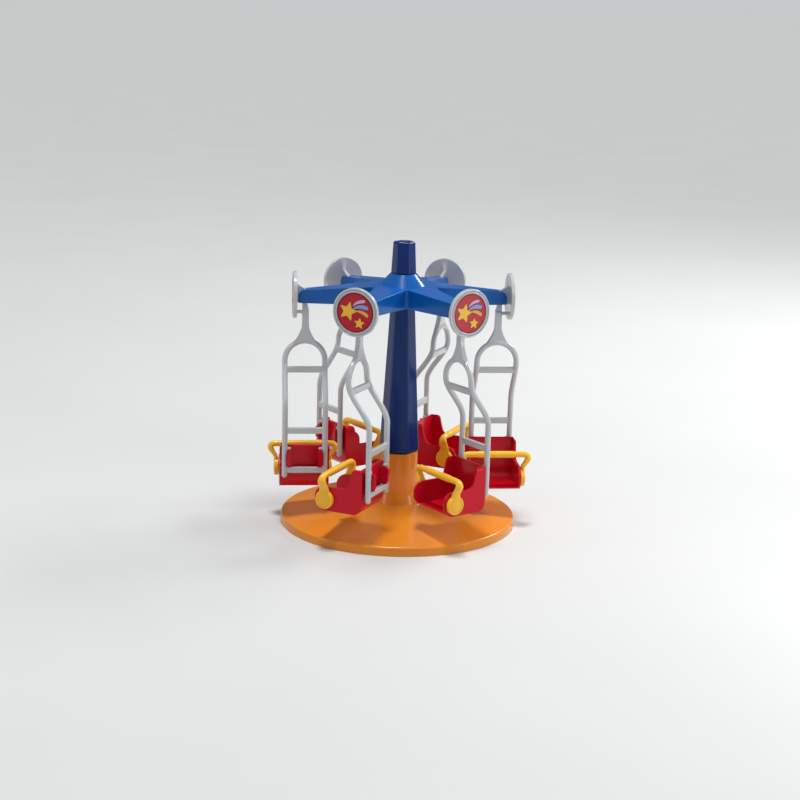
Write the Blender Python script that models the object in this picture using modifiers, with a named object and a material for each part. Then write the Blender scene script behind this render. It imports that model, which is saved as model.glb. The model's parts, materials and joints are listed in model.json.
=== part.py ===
"""Toy merry-go-round: a star with six arms turns on a fixed column and carries six hanging swings.

Lengths are in metres and +Z is up.  The arms stand at every 60 degrees, the first along +X.
A swing is drawn once, on the +X arm, with three measures: r outward from the column's axis,
f forward, the way its rider faces (-Y on that arm), and z up.  Then it is placed six times.
"""
import math

import bmesh
import bpy
from mathutils import Matrix, Vector

# Collections: the finished pieces, and what they are cut and joined from
ASSEMBLY = "merry_go_round"
DRAFTS = "drafts"

# Clearances
GAP = 0.0003                    # between two pieces that touch
CLEAR = 0.0005                  # round the ends of the star's hub, which turns

# Base plate, a shallow cone with a collar, a stub and a spigot for the column
BASE_RADIUS = 0.0900
BASE_WALL = 0.0022
RIM_HEIGHT = 0.0070
RIM_ROUND = 0.0018
CROWN_RADIUS = 0.0186           # where the cone meets the collar round the stub's foot
CROWN_HEIGHT = 0.0150
COLLAR_RADIUS = 0.0163
COLLAR_TOP = 0.0236
STUB_RADIUS = 0.0146
STUB_TOP = 0.0557
STUB_WALL = 0.0024
SPIGOT_RADIUS = 0.0094
SPIGOT_BORE = 0.0066
SPIGOT_TOP = 0.0750
BASE_SIDES = 64

# Column, a tapered hexagon with a round journal and a hexagonal key on top
COLUMN_BOTTOM = STUB_TOP + GAP
COLUMN_TOP = 0.1698
COLUMN_BOTTOM_RADIUS = 0.0154
COLUMN_TOP_RADIUS = 0.0096
COLUMN_ROUND = 0.0024
COLUMN_EDGE = 0.0014
COLUMN_WALL = 0.0019
COLUMN_TURN = math.radians(-10) # the column's corners, from the arms
CORE_TOP = 0.1612
POST_RADIUS = 0.0044
JOURNAL_RADIUS = 0.0062
KEY_RADIUS = 0.0046
KEY_TOP = 0.2085

# Screws
SCREW_RADIUS = 0.0015
SCREW_HOLE = SCREW_RADIUS + GAP
SCREW_HEAD_RADIUS = 0.0027
SCREW_HEAD_HEIGHT = 0.0018
SCREW_LENGTH = 0.0170
SCREW_HOLE_DEPTH = SCREW_LENGTH + 0.0010

# Star
ARM_END = 0.0785
ARM_TIP_HALF = 0.0040
ARM_ROOT_HALF = 0.01225
ARM_ROOT = ARM_ROOT_HALF / math.tan(math.radians(30))
ARM_BOTTOM = COLUMN_TOP + CLEAR
ARM_TOP_TIP = 0.1800
ARM_TOP_ROOT = 0.1848
ARM_END_ROUND = 0.0050
ARM_WALL = 0.0018
HOLLOW_END = 0.0630             # the underside is open, from the hub's boss to here
HOLLOW_TOP = 0.1785
HUB_CONE_RADIUS = 0.0176
HUB_TOP_RADIUS = 0.0100
HUB_TOP = 0.1930
HUB_BOSS_RADIUS = 0.0092
SLOT_HALF = 0.0015
SLOT_ROOT = 0.0660

# Finial on the column's key
FINIAL_BOTTOM = HUB_TOP + CLEAR
FINIAL_TOP = 0.2170
FINIAL_BOTTOM_RADIUS = 0.0100
FINIAL_TOP_RADIUS = 0.0088
FINIAL_ROUND = 0.0021
FINIAL_EDGE = 0.0013
FINIAL_SEAT = 0.2120            # where the screw's head sits
FINIAL_WELL_RADIUS = 0.0031

# Swing hinge
PIVOT_R = 0.0735
PIVOT_Z = 0.1744
TRUNNION_RADIUS = 0.0012
TRUNNION_HALF = 0.0031
TRUNNION_HOLE = TRUNNION_RADIUS + GAP

# Hanger
HANGER_R = 0.0730
RAIL_HALF = 0.0151              # half the distance between the two rails
RAIL_RADIUS = 0.00215
RAIL_BOTTOM = 0.0384
LOOP_Z = 0.1255                 # centre of the round top of the loop
LOOP_LEAN = 0.0013              # f of the loop
RAIL_LEAN = -0.0160             # f of the rails behind the seat
BEND_TOP = 0.1260
BEND_BOTTOM = 0.0920
RUNG_CENTRES = (0.1190, 0.0753, 0.0447)
RUNG_HEIGHT = 0.0046
RUNG_DEPTH = 0.0030
LUG_Z = 0.0613
LUG_RADIUS = 0.0012
LUG_REACH = 0.0108
NECK_HALF = 0.0025
NECK_HALF_DEPTH = 0.0020
NECK_TOP = 0.1645
TONGUE_HALF_DEPTH = 0.0012

# Sign disc on the hanger and the badge set in it
DISC_BACK = 0.0798
DISC_FRONT = 0.0827
DISC_RADIUS = 0.0176
DISC_Z = 0.1760
BADGE_RADIUS = 0.0142
BADGE_THICKNESS = 0.0007
DISC_SIDES = 32

# Seat
SEAT_HALF = 0.0187
SEAT_WALL = 0.0018
SEAT_BACK = -0.0125
SEAT_BACK_ROUND = 0.0065
SEAT_FRONT = 0.0251
SEAT_BOTTOM = 0.0296
SEAT_ARMREST = 0.0477
SEAT_TOP = 0.0633
CLIP_BOTTOM = RUNG_CENTRES[2] + RUNG_HEIGHT / 2 + GAP
CLIP_TOP = LUG_Z - LUG_RADIUS - GAP
CLIP_REAR = -0.0192
CLIP_INNER = 0.0100
CLIP_HALF = RAIL_HALF - RAIL_RADIUS - GAP
EAR_HALF = 0.0140
EAR_FRONT = RAIL_LEAN - RAIL_RADIUS - GAP
EAR_REAR = -0.0200

# Safety bar
BAR_F = 0.0163
BAR_Z = 0.0385
BAR_DISC_RADIUS = 0.0069
BAR_DISC_INNER = SEAT_HALF + GAP
BAR_DISC_OUTER = BAR_DISC_INNER + 0.0036
BAR_STUD_RADIUS = 0.0020
BAR_STUD_HOLE = BAR_STUD_RADIUS + GAP
BAR_TOP = 0.0566
BAR_RADIUS = 0.0019
GRIP_RADIUS = 0.00265
GRIP_HALF = 0.0125

SWINGS = 6
SHARP_ANGLE = math.radians(35)  # edges sharper than this aren't shaded smooth

# Planes of flat outlines: (r, z) with depth along f, and (f, z) with depth along r
RADIAL_PLANE = Matrix(((1, 0, 0, 0), (0, 0, -1, 0), (0, 1, 0, 0), (0, 0, 0, 1)))
FORWARD_PLANE = Matrix(((0, 0, -1, 0), (-1, 0, 0, 0), (0, 1, 0, 0), (0, 0, 0, 1)))


# ---------------------------------------------------------------- scene helpers

def clear_scene():
    for item in list(bpy.data.objects):
        bpy.data.objects.remove(item)
    for group in list(bpy.data.collections):
        bpy.data.collections.remove(group)
    for name in (ASSEMBLY, DRAFTS):
        group = bpy.data.collections.new(name)
        bpy.context.scene.collection.children.link(group)


def make_material(name, colour, roughness, metallic=0.0):
    material = bpy.data.materials.new(name)
    material.use_nodes = True
    shader = material.node_tree.nodes["Principled BSDF"]
    shader.inputs["Base Color"].default_value = (*colour, 1.0)
    shader.inputs["Roughness"].default_value = roughness
    shader.inputs["Metallic"].default_value = metallic
    material.diffuse_color = (*colour, 1.0)
    return material


def link(name, data, group=DRAFTS):
    item = bpy.data.objects.new(name, data)
    bpy.data.collections[group].objects.link(item)
    return item


def from_bmesh(mesh):
    data = bpy.data.meshes.new("draft")
    mesh.to_mesh(data)
    mesh.free()
    return link("draft", data)


def bake(item):
    """Turn a curve or a mesh with modifiers into a plain, welded mesh object."""
    bpy.context.view_layer.update()
    graph = bpy.context.evaluated_depsgraph_get()
    data = bpy.data.meshes.new_from_object(item.evaluated_get(graph))
    mesh = bmesh.new()
    mesh.from_mesh(data)
    bmesh.ops.remove_doubles(mesh, verts=mesh.verts, dist=1e-6)
    bmesh.ops.recalc_face_normals(mesh, faces=mesh.faces)
    bpy.data.meshes.remove(data)
    bpy.data.objects.remove(item)
    return from_bmesh(mesh)


def combine(body, tools, operation):
    for tool in tools:
        boolean = body.modifiers.new(operation, "BOOLEAN")
        boolean.operation = operation
        boolean.solver = "EXACT"
        boolean.object = tool
        body = bake(body)
        bpy.data.objects.remove(tool)
    return body


def join(body, *tools):
    return combine(body, tools, "UNION")


def cut(body, *tools):
    return combine(body, tools, "DIFFERENCE")


def around(draft, count=SWINGS):
    """Copies of one draft, turned about +Z, in one object."""
    mesh = bmesh.new()
    for index in range(count):
        turned_data = draft.data.copy()
        turned_data.transform(Matrix.Rotation(math.tau * index / count, 4, "Z"))
        mesh.from_mesh(turned_data)
        bpy.data.meshes.remove(turned_data)
    bpy.data.objects.remove(draft)
    return from_bmesh(mesh)


# ---------------------------------------------------------------- shape helpers

def at(r, f, z):
    """A point of the swing on the +X arm."""
    return Vector((r, -f, z))


def rounded(corners, steps=4):
    """Outline points for corners (x, y, radius), with an arc where the radius isn't zero."""
    points = []
    for index, (x, y, radius) in enumerate(corners):
        here = Vector((x, y))
        if radius == 0:
            points.append(here)
            continue
        before = (Vector(corners[index - 1][:2]) - here).normalized()
        after = (Vector(corners[(index + 1) % len(corners)][:2]) - here).normalized()
        half = before.angle(after) / 2
        centre = here + (before + after).normalized() * radius / math.sin(half)
        start = here + before * radius / math.tan(half) - centre
        end = here + after * radius / math.tan(half) - centre
        for step in range(steps + 1):
            points.append(centre + start.slerp(end, step / steps) * radius)
    return points


def plate(outline, half_depth, plane, shift=0.0):
    """A flat outline, given depth on both sides of its plane."""
    curve = bpy.data.curves.new("outline", "CURVE")
    curve.dimensions = "2D"
    curve.fill_mode = "BOTH"
    curve.extrude = half_depth
    spline = curve.splines.new("POLY")
    spline.points.add(len(outline) - 1)
    for point, (x, y) in zip(spline.points, outline):
        point.co = (x, y, 0, 1)
    spline.use_cyclic_u = True
    draft = bake(link("outline", curve))
    draft.data.transform(plane @ Matrix.Translation((0, 0, shift)))
    return draft


def tube(path, radius):
    """An eight-sided tube with flat ends, along a path of points."""
    curve = bpy.data.curves.new("path", "CURVE")
    curve.dimensions = "3D"
    curve.bevel_depth = radius
    curve.bevel_resolution = 2
    curve.use_fill_caps = True
    spline = curve.splines.new("POLY")
    spline.points.add(len(path) - 1)
    for point, place in zip(spline.points, path):
        point.co = (*place, 1)
    return bake(link("path", curve))


def rod(start, end, radius, end_radius=None, sides=16):
    """A cylinder or cone between two points."""
    axis = end - start
    turn = axis.to_track_quat("Z", "Y").to_matrix().to_4x4()
    place = Matrix.Translation((start + end) / 2) @ turn
    mesh = bmesh.new()
    bmesh.ops.create_cone(mesh, cap_ends=True, segments=sides, radius1=radius,
                          radius2=radius if end_radius is None else end_radius,
                          depth=axis.length, matrix=place)
    return from_bmesh(mesh)


def upright(bottom, top, radius, end_radius=None, sides=16):
    return rod(Vector((0, 0, bottom)), Vector((0, 0, top)), radius, end_radius, sides)


def block(centre, size):
    mesh = bmesh.new()
    bmesh.ops.create_cube(mesh, size=1.0, matrix=Matrix.Translation(centre) @ Matrix.Diagonal((*size, 1)))
    return from_bmesh(mesh)


def turned(profile, sides):
    """A closed outline of (radius, z) points, turned about +Z."""
    mesh = bmesh.new()
    verts = [mesh.verts.new((x, 0, z)) for x, z in profile]
    for index, vert in enumerate(verts):
        mesh.edges.new((verts[index - 1], vert))
    draft = from_bmesh(mesh)
    screw = draft.modifiers.new("turn", "SCREW")
    screw.steps = sides
    screw.render_steps = sides
    screw.use_merge_vertices = True
    screw.merge_threshold = 1e-5
    screw.use_normal_calculate = True
    return bake(draft)


def loft(rings):
    """A skin through rings of points, with a cap on the first and the last."""
    mesh = bmesh.new()
    loops = []
    for ring in rings:
        verts = [mesh.verts.new(point) for point in ring]
        loops.append([mesh.edges.new((verts[index - 1], vert)) for index, vert in enumerate(verts)])
    for lower, upper in zip(loops, loops[1:]):
        bmesh.ops.bridge_loops(mesh, edges=lower + upper)
    for end in (loops[0], loops[-1]):
        bmesh.ops.contextual_create(mesh, geom=end)
    bmesh.ops.recalc_face_normals(mesh, faces=mesh.faces)
    return from_bmesh(mesh)


def hexagon(radius, corner_round, z, turn=COLUMN_TURN, steps=3):
    """A level hexagon with rounded corners."""
    corners = []
    for index in range(6):
        angle = turn + math.tau * index / 6
        corners.append((radius * math.cos(angle), radius * math.sin(angle), corner_round))
    if corner_round == 0:
        return [(x, y, z) for x, y, _ in corners]
    return [(x, y, z) for x, y in rounded(corners, steps)]


# ---------------------------------------------------------------- fixed pieces

def make_base_plate():
    stub_bore = STUB_RADIUS - STUB_WALL
    profile = rounded([
        (BASE_RADIUS, 0, 0),
        (BASE_RADIUS, RIM_HEIGHT, RIM_ROUND),
        (CROWN_RADIUS, CROWN_HEIGHT, 0),
        (COLLAR_RADIUS, COLLAR_TOP, 0),
        (STUB_RADIUS, COLLAR_TOP, 0),
        (STUB_RADIUS, STUB_TOP, 0),
        (SPIGOT_RADIUS, STUB_TOP, 0),
        (SPIGOT_RADIUS, SPIGOT_TOP - 0.001, 0),
        (SPIGOT_RADIUS - 0.001, SPIGOT_TOP, 0),
        (SPIGOT_BORE, SPIGOT_TOP, 0),
        (SPIGOT_BORE, STUB_TOP, 0),
        (SCREW_HOLE, STUB_TOP, 0),
        (SCREW_HOLE, STUB_TOP - STUB_WALL, 0),
        (stub_bore, STUB_TOP - STUB_WALL, 0),
        (stub_bore, COLLAR_TOP - BASE_WALL, 0),
        (COLLAR_RADIUS - BASE_WALL, COLLAR_TOP - BASE_WALL, 0),
        (CROWN_RADIUS - BASE_WALL, CROWN_HEIGHT - BASE_WALL, 0),
        (BASE_RADIUS - BASE_WALL, RIM_HEIGHT - BASE_WALL, 0),
        (BASE_RADIUS - BASE_WALL, 0, 0),
    ], steps=3)
    return turned(profile, BASE_SIDES)


def make_column():
    body = loft([
        hexagon(COLUMN_BOTTOM_RADIUS - COLUMN_EDGE, COLUMN_ROUND, COLUMN_BOTTOM),
        hexagon(COLUMN_BOTTOM_RADIUS, COLUMN_ROUND, COLUMN_BOTTOM + COLUMN_EDGE),
        hexagon(COLUMN_TOP_RADIUS, COLUMN_ROUND, COLUMN_TOP),
    ])
    core = loft([
        hexagon(COLUMN_BOTTOM_RADIUS - COLUMN_WALL, 0, COLUMN_BOTTOM - COLUMN_EDGE),
        hexagon(COLUMN_TOP_RADIUS - COLUMN_WALL, 0, CORE_TOP),
    ])
    core = cut(core, upright(0, KEY_TOP, POST_RADIUS))
    journal = upright(COLUMN_TOP - COLUMN_EDGE, HUB_TOP + CLEAR - GAP, JOURNAL_RADIUS, sides=24)
    key = loft([hexagon(KEY_RADIUS, 0, HUB_TOP - COLUMN_EDGE), hexagon(KEY_RADIUS, 0, KEY_TOP)])
    body = join(body, journal, key)
    lower_hole = upright(0, COLUMN_BOTTOM + SCREW_HOLE_DEPTH, SCREW_HOLE)
    upper_hole = upright(FINIAL_SEAT - SCREW_HOLE_DEPTH, FINIAL_TOP, SCREW_HOLE)
    return cut(body, core, lower_hole, upper_hole)


def make_screw(head_bottom, direction):
    """A self-tapping screw with its head against head_bottom and its shank along direction."""
    start = Vector((0, 0, head_bottom - direction * GAP))
    head = rod(start, start - Vector((0, 0, direction * SCREW_HEAD_HEIGHT)), SCREW_HEAD_RADIUS, sides=20)
    neck = start - Vector((0, 0, direction * SCREW_HEAD_HEIGHT / 2))
    shank = rod(neck, start + Vector((0, 0, direction * SCREW_LENGTH)), SCREW_RADIUS)
    cross = SCREW_HEAD_RADIUS * 1.2
    slot_depth = SCREW_HEAD_HEIGHT / 2
    face = start - Vector((0, 0, direction * SCREW_HEAD_HEIGHT))
    body = join(head, shank)
    return cut(body, block(face, (cross, slot_depth, slot_depth * 2)),
               block(face, (slot_depth, cross, slot_depth * 2)))


def make_finial():
    body = loft([
        hexagon(FINIAL_BOTTOM_RADIUS, FINIAL_ROUND, FINIAL_BOTTOM),
        hexagon(FINIAL_TOP_RADIUS, FINIAL_ROUND, FINIAL_TOP - FINIAL_EDGE),
        hexagon(FINIAL_TOP_RADIUS - FINIAL_EDGE / 3, FINIAL_ROUND, FINIAL_TOP - FINIAL_EDGE / 3),
        hexagon(FINIAL_TOP_RADIUS - FINIAL_EDGE, FINIAL_ROUND, FINIAL_TOP),
    ])
    socket = loft([
        hexagon(KEY_RADIUS + GAP / math.cos(math.radians(30)), 0, FINIAL_BOTTOM - CLEAR),
        hexagon(KEY_RADIUS + GAP / math.cos(math.radians(30)), 0, KEY_TOP + GAP),
    ])
    hole = upright(FINIAL_BOTTOM, FINIAL_TOP, SCREW_HOLE)
    well = upright(FINIAL_SEAT, FINIAL_TOP + CLEAR, FINIAL_WELL_RADIUS, sides=24)
    return cut(body, socket, hole, well)


# ---------------------------------------------------------------- star

def arm_half_width(r):
    """Half the width of an arm, which narrows from its root to its tip."""
    share = (r - ARM_ROOT) / (ARM_END - ARM_ROOT)
    return ARM_ROOT_HALF + (ARM_TIP_HALF - ARM_ROOT_HALF) * share


def star_prism(end, tip_half, root_half, bottom, tip_top, root_top):
    """A star with six arms, level below and sloping to the tips above."""
    mesh = bmesh.new()
    corners = []
    for index in range(SWINGS):
        turn = Matrix.Rotation(math.tau * index / SWINGS, 3, "Z")
        notch = Vector((root_half / math.sin(math.pi / SWINGS), 0, 0))
        notch.rotate(Matrix.Rotation(math.pi / SWINGS, 3, "Z"))
        for corner in (Vector((end, -tip_half, 0)), Vector((end, tip_half, 0)), notch):
            corners.append(mesh.verts.new(turn @ corner + Vector((0, 0, bottom))))
    flat = bmesh.ops.contextual_create(mesh, geom=corners)["faces"]
    raised = bmesh.ops.extrude_face_region(mesh, geom=flat)["geom"]
    top = [item for item in raised if isinstance(item, bmesh.types.BMVert)]
    notches = []
    for vert in top:
        at_tip = vert.co.xy.length > (end + root_half) / 2
        vert.co.z = tip_top if at_tip else root_top
        if not at_tip:
            notches.append(vert)
    notches.sort(key=lambda vert: math.atan2(vert.co.y, vert.co.x))
    for index, vert in enumerate(notches):
        bmesh.ops.connect_verts(mesh, verts=[notches[index - 1], vert])
    bmesh.ops.recalc_face_normals(mesh, faces=mesh.faces)
    return mesh


def round_tips(mesh):
    """Round the upper edge across each arm's end."""
    edges = []
    for edge in mesh.edges:
        middle = (edge.verts[0].co + edge.verts[1].co) / 2
        if middle.xy.length > ARM_END - GAP and middle.z > ARM_TOP_TIP - GAP:
            edges.append(edge)
    bmesh.ops.bevel(mesh, geom=edges, offset=ARM_END_ROUND, segments=5, profile=0.5, affect="EDGES")
    return mesh


def make_hollow():
    """The room under the star's arms, round the hub's boss."""
    bottom = ARM_BOTTOM - ARM_WALL
    room = from_bmesh(star_prism(HOLLOW_END, arm_half_width(HOLLOW_END) - ARM_WALL,
                                 ARM_ROOT_HALF - ARM_WALL, bottom, HOLLOW_TOP, HOLLOW_TOP))
    return cut(room, upright(0, FINIAL_TOP, HUB_BOSS_RADIUS, sides=24))


def make_star_spider():
    solid = star_prism(ARM_END, ARM_TIP_HALF, ARM_ROOT_HALF, ARM_BOTTOM, ARM_TOP_TIP, ARM_TOP_ROOT)
    cone = upright(ARM_TOP_ROOT - ARM_WALL, HUB_TOP, HUB_CONE_RADIUS, HUB_TOP_RADIUS, sides=32)
    body = join(from_bmesh(round_tips(solid)), cone)
    bore = upright(0, FINIAL_TOP, JOURNAL_RADIUS + GAP, sides=24)
    slot_length = ARM_END - SLOT_ROOT + ARM_WALL
    slot = block((SLOT_ROOT + slot_length / 2, 0, PIVOT_Z), (slot_length, SLOT_HALF * 2, ARM_END))
    hole_end = TRUNNION_HALF + GAP
    hole = rod(at(PIVOT_R, -hole_end, PIVOT_Z), at(PIVOT_R, hole_end, PIVOT_Z), TRUNNION_HOLE)
    return cut(body, make_hollow(), bore, around(slot), around(hole))


# ---------------------------------------------------------------- swing

def rail_f(z):
    """How far forward the hanger runs at a height: level with its hinge above, behind the seat below."""
    share = min(1.0, max(0.0, (BEND_TOP - z) / (BEND_TOP - BEND_BOTTOM)))
    ease = share * share * (3 - 2 * share)
    return LOOP_LEAN + (RAIL_LEAN - LOOP_LEAN) * ease


def loop_path(bend_steps=6, arc_steps=10):
    """The rails and the round top between them, from one lower end to the other."""
    heights = [RAIL_BOTTOM]
    for step in range(bend_steps + 1):
        heights.append(BEND_BOTTOM + (LOOP_Z - BEND_BOTTOM) * step / bend_steps)
    left = [(HANGER_R - RAIL_HALF, z) for z in heights]
    right = [(HANGER_R + RAIL_HALF, z) for z in reversed(heights)]
    arc = []
    for step in range(1, arc_steps):
        angle = math.pi * (1 - step / arc_steps)
        arc.append((HANGER_R + RAIL_HALF * math.cos(angle), LOOP_Z + RAIL_HALF * math.sin(angle)))
    return [at(r, rail_f(z), z) for r, z in left + arc + right]


def neck_outline(steps=5):
    """The neck and the webs that flare from it on to the round top of the loop."""
    web_half = 0.0105
    web_z = LOOP_Z + math.sqrt(RAIL_HALF ** 2 - web_half ** 2)
    start = Vector((NECK_HALF, 0.1560))
    bend = Vector((NECK_HALF + 0.0010, 0.1460))
    end = Vector((web_half, web_z))
    side = [Vector((NECK_HALF, NECK_TOP))]
    for step in range(steps + 1):
        share = step / steps
        side.append(start.lerp(bend, share).lerp(bend.lerp(end, share), share))
    side.append(Vector((0, LOOP_Z + RAIL_HALF)))
    mirrored = [Vector((-point.x, point.y)) for point in reversed(side[:-1])]
    return [(HANGER_R + point.x, point.y) for point in side + mirrored]


def tongue_outline():
    """The plate in the arm's slot: a gusset on the sign disc above, a tab to the disc below."""
    neck_in = HANGER_R - NECK_HALF
    neck_out = HANGER_R + NECK_HALF
    disc = DISC_BACK + GAP
    tongue_in = PIVOT_R - 0.0058
    return rounded([
        (neck_in, NECK_TOP - 0.004, 0),
        (neck_out, NECK_TOP - 0.004, 0),
        (neck_out, 0.1620, 0),
        (disc, 0.1620, 0),
        (disc, 0.1642, 0),
        (neck_out, 0.1642, 0),
        (neck_out, ARM_BOTTOM, 0),
        (disc, ARM_BOTTOM, 0),
        (disc, 0.1845, 0),
        (0.0726, ARM_TOP_TIP, 0),
        (tongue_in, ARM_TOP_TIP, 0.0045),
        (tongue_in, ARM_BOTTOM + 0.0008, 0.002),
        (0.0722, ARM_BOTTOM + GAP, 0),
        (neck_in, NECK_TOP + GAP, 0),
    ])


def make_hanger():
    body = tube(loop_path(), RAIL_RADIUS)
    pieces = [plate(neck_outline(), NECK_HALF_DEPTH, RADIAL_PLANE, shift=LOOP_LEAN / 2)]
    pieces.append(plate(tongue_outline(), TONGUE_HALF_DEPTH, RADIAL_PLANE))
    for z in RUNG_CENTRES:
        pieces.append(block(at(HANGER_R, rail_f(z), z), (2 * RAIL_HALF, RUNG_DEPTH, RUNG_HEIGHT)))
    for side in (-1, 1):
        start = at(HANGER_R + side * RAIL_HALF, RAIL_LEAN, LUG_Z)
        pieces.append(rod(start, at(HANGER_R + side * LUG_REACH, RAIL_LEAN, LUG_Z), LUG_RADIUS, sides=8))
    disc = rod(at(DISC_BACK, 0, DISC_Z), at(DISC_FRONT, 0, DISC_Z), DISC_RADIUS, sides=DISC_SIDES)
    recess_bottom = DISC_FRONT - BADGE_THICKNESS - 1.5 * GAP
    recess = rod(at(recess_bottom, 0, DISC_Z), at(DISC_FRONT + GAP, 0, DISC_Z), BADGE_RADIUS + GAP,
                 sides=DISC_SIDES)
    pieces.append(cut(disc, recess))
    pieces.append(rod(at(PIVOT_R, -TRUNNION_HALF, PIVOT_Z), at(PIVOT_R, TRUNNION_HALF, PIVOT_Z),
                      TRUNNION_RADIUS, sides=12))
    return join(body, *pieces)


def make_badge():
    front = DISC_FRONT - GAP / 2
    return rod(at(front - BADGE_THICKNESS, 0, DISC_Z), at(front, 0, DISC_Z), BADGE_RADIUS, sides=DISC_SIDES)


def seat_outline():
    """The side of the seat, as (f, z, radius) corners: back, floor, round front, armrest, wing."""
    front_round = BAR_Z - SEAT_BOTTOM
    return rounded([
        (SEAT_BACK, SEAT_TOP, 0.0010),
        (SEAT_BACK, SEAT_BOTTOM, SEAT_BACK_ROUND),
        (SEAT_FRONT, SEAT_BOTTOM, front_round),
        (SEAT_FRONT, SEAT_ARMREST, 0.0080),
        (-0.0010, SEAT_ARMREST, 0.0060),
        (-0.0035, SEAT_TOP, 0.0030),
    ], steps=5)


def make_clips():
    """The two brackets behind the seat: each stands inside a rail, with an ear that reaches behind it."""
    front = SEAT_BACK + SEAT_WALL / 2
    height = CLIP_TOP - CLIP_BOTTOM
    middle = (CLIP_TOP + CLIP_BOTTOM) / 2
    ear_inner = CLIP_INNER + GAP
    pieces = []
    for side in (-1, 1):
        bracket = at(HANGER_R + side * (CLIP_INNER + CLIP_HALF) / 2, (front + CLIP_REAR) / 2, middle)
        ear = at(HANGER_R + side * (ear_inner + EAR_HALF) / 2, (EAR_FRONT + EAR_REAR) / 2, middle)
        pieces.append(block(bracket, (CLIP_HALF - CLIP_INNER, front - CLIP_REAR, height)))
        pieces.append(block(ear, (EAR_HALF - ear_inner, EAR_FRONT - EAR_REAR, height * 0.7)))
    return pieces


def make_seat():
    body = plate(seat_outline(), SEAT_HALF, FORWARD_PLANE, shift=-HANGER_R)
    room = rounded([
        (SEAT_BACK + SEAT_WALL, SEAT_TOP + SEAT_WALL, 0),
        (SEAT_BACK + SEAT_WALL, SEAT_BOTTOM + SEAT_WALL, SEAT_BACK_ROUND - SEAT_WALL),
        (SEAT_FRONT + SEAT_WALL, SEAT_BOTTOM + SEAT_WALL, 0),
        (SEAT_FRONT + SEAT_WALL, SEAT_TOP + SEAT_WALL, 0),
    ], steps=5)
    body = cut(body, plate(room, SEAT_HALF - SEAT_WALL, FORWARD_PLANE, shift=-HANGER_R))
    body = join(body, *make_clips())
    reach = SEAT_HALF + SEAT_WALL
    holes = rod(at(HANGER_R - reach, BAR_F, BAR_Z), at(HANGER_R + reach, BAR_F, BAR_Z), BAR_STUD_HOLE)
    return cut(body, holes)


def bar_path():
    """Half of the safety bar, as (r from its middle, z, half width along r and z, half width along f)."""
    arm_r = (BAR_DISC_INNER + BAR_DISC_OUTER) / 2
    arm_half = (BAR_DISC_OUTER - BAR_DISC_INNER) / 2
    return [
        (arm_r, BAR_Z, arm_half, 0.0033),
        (arm_r, BAR_Z + 0.0055, arm_half, 0.0028),
        (arm_r + 0.0005, BAR_Z + 0.0087, 0.0017, 0.0029),
        (arm_r + 0.0030, BAR_Z + 0.0120, 0.0017, 0.0031),
        (arm_r + 0.0048, BAR_Z + 0.0150, BAR_RADIUS, 0.0028),
        (arm_r + 0.0038, BAR_Z + 0.0173, BAR_RADIUS, 0.0023),
        (arm_r + 0.0006, BAR_TOP, BAR_RADIUS, BAR_RADIUS),
        (GRIP_HALF, BAR_TOP, BAR_RADIUS, BAR_RADIUS),
    ]


def bar_sweep(sides=8):
    """The arms and the cross bar as one skin, its rings square to the way it runs."""
    half = bar_path()
    stations = half + [(-r, z, thin, wide) for r, z, thin, wide in reversed(half)]
    rings = []
    for index, (r, z, thin, wide) in enumerate(stations):
        before = Vector(stations[max(index - 1, 0)][:2])
        after = Vector(stations[min(index + 1, len(stations) - 1)][:2])
        along = (after - before).normalized()
        ring = []
        for step in range(sides):
            angle = math.tau * (step + 0.5) / sides
            outward = thin * math.cos(angle)
            forward = wide * math.sin(angle)
            ring.append(at(HANGER_R + r - along.y * outward, BAR_F + forward, z + along.x * outward))
        rings.append(ring)
    return loft(rings)


def make_safety_bar():
    body = bar_sweep()
    pieces = [rod(at(HANGER_R - GRIP_HALF, BAR_F, BAR_TOP), at(HANGER_R + GRIP_HALF, BAR_F, BAR_TOP),
                  GRIP_RADIUS, sides=12)]
    for side in (-1, 1):
        inner = at(HANGER_R + side * BAR_DISC_INNER, BAR_F, BAR_Z)
        outer = at(HANGER_R + side * BAR_DISC_OUTER, BAR_F, BAR_Z)
        stud = at(HANGER_R + side * (SEAT_HALF - SEAT_WALL), BAR_F, BAR_Z)
        pieces.append(rod(inner, outer, BAR_DISC_RADIUS, sides=20))
        pieces.append(rod(stud, (inner + outer) / 2, BAR_STUD_RADIUS, sides=12))
    return join(body, *pieces)


# ---------------------------------------------------------------- assembly

def place(name, draft, origin, parent, material):
    """Name a finished draft and set its origin, which its parent empty marks."""
    draft.data.transform(Matrix.Translation(-origin))
    draft.data.shade_smooth()
    draft.data.set_sharp_from_angle(angle=SHARP_ANGLE)
    draft.data.materials.clear()
    draft.data.materials.append(material)
    draft.data.name = name
    piece = link(name, draft.data, ASSEMBLY)
    piece.parent = parent
    bpy.data.objects.remove(draft)
    return piece


def add_pivot(name, location, parent, turn=0.0):
    pivot = link(name, None, ASSEMBLY)
    pivot.location = location
    pivot.rotation_euler.z = turn
    pivot.parent = parent
    return pivot


def copy_to(name, original, parent):
    twin = link(name, original.data, ASSEMBLY)
    twin.parent = parent
    return twin


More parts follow.
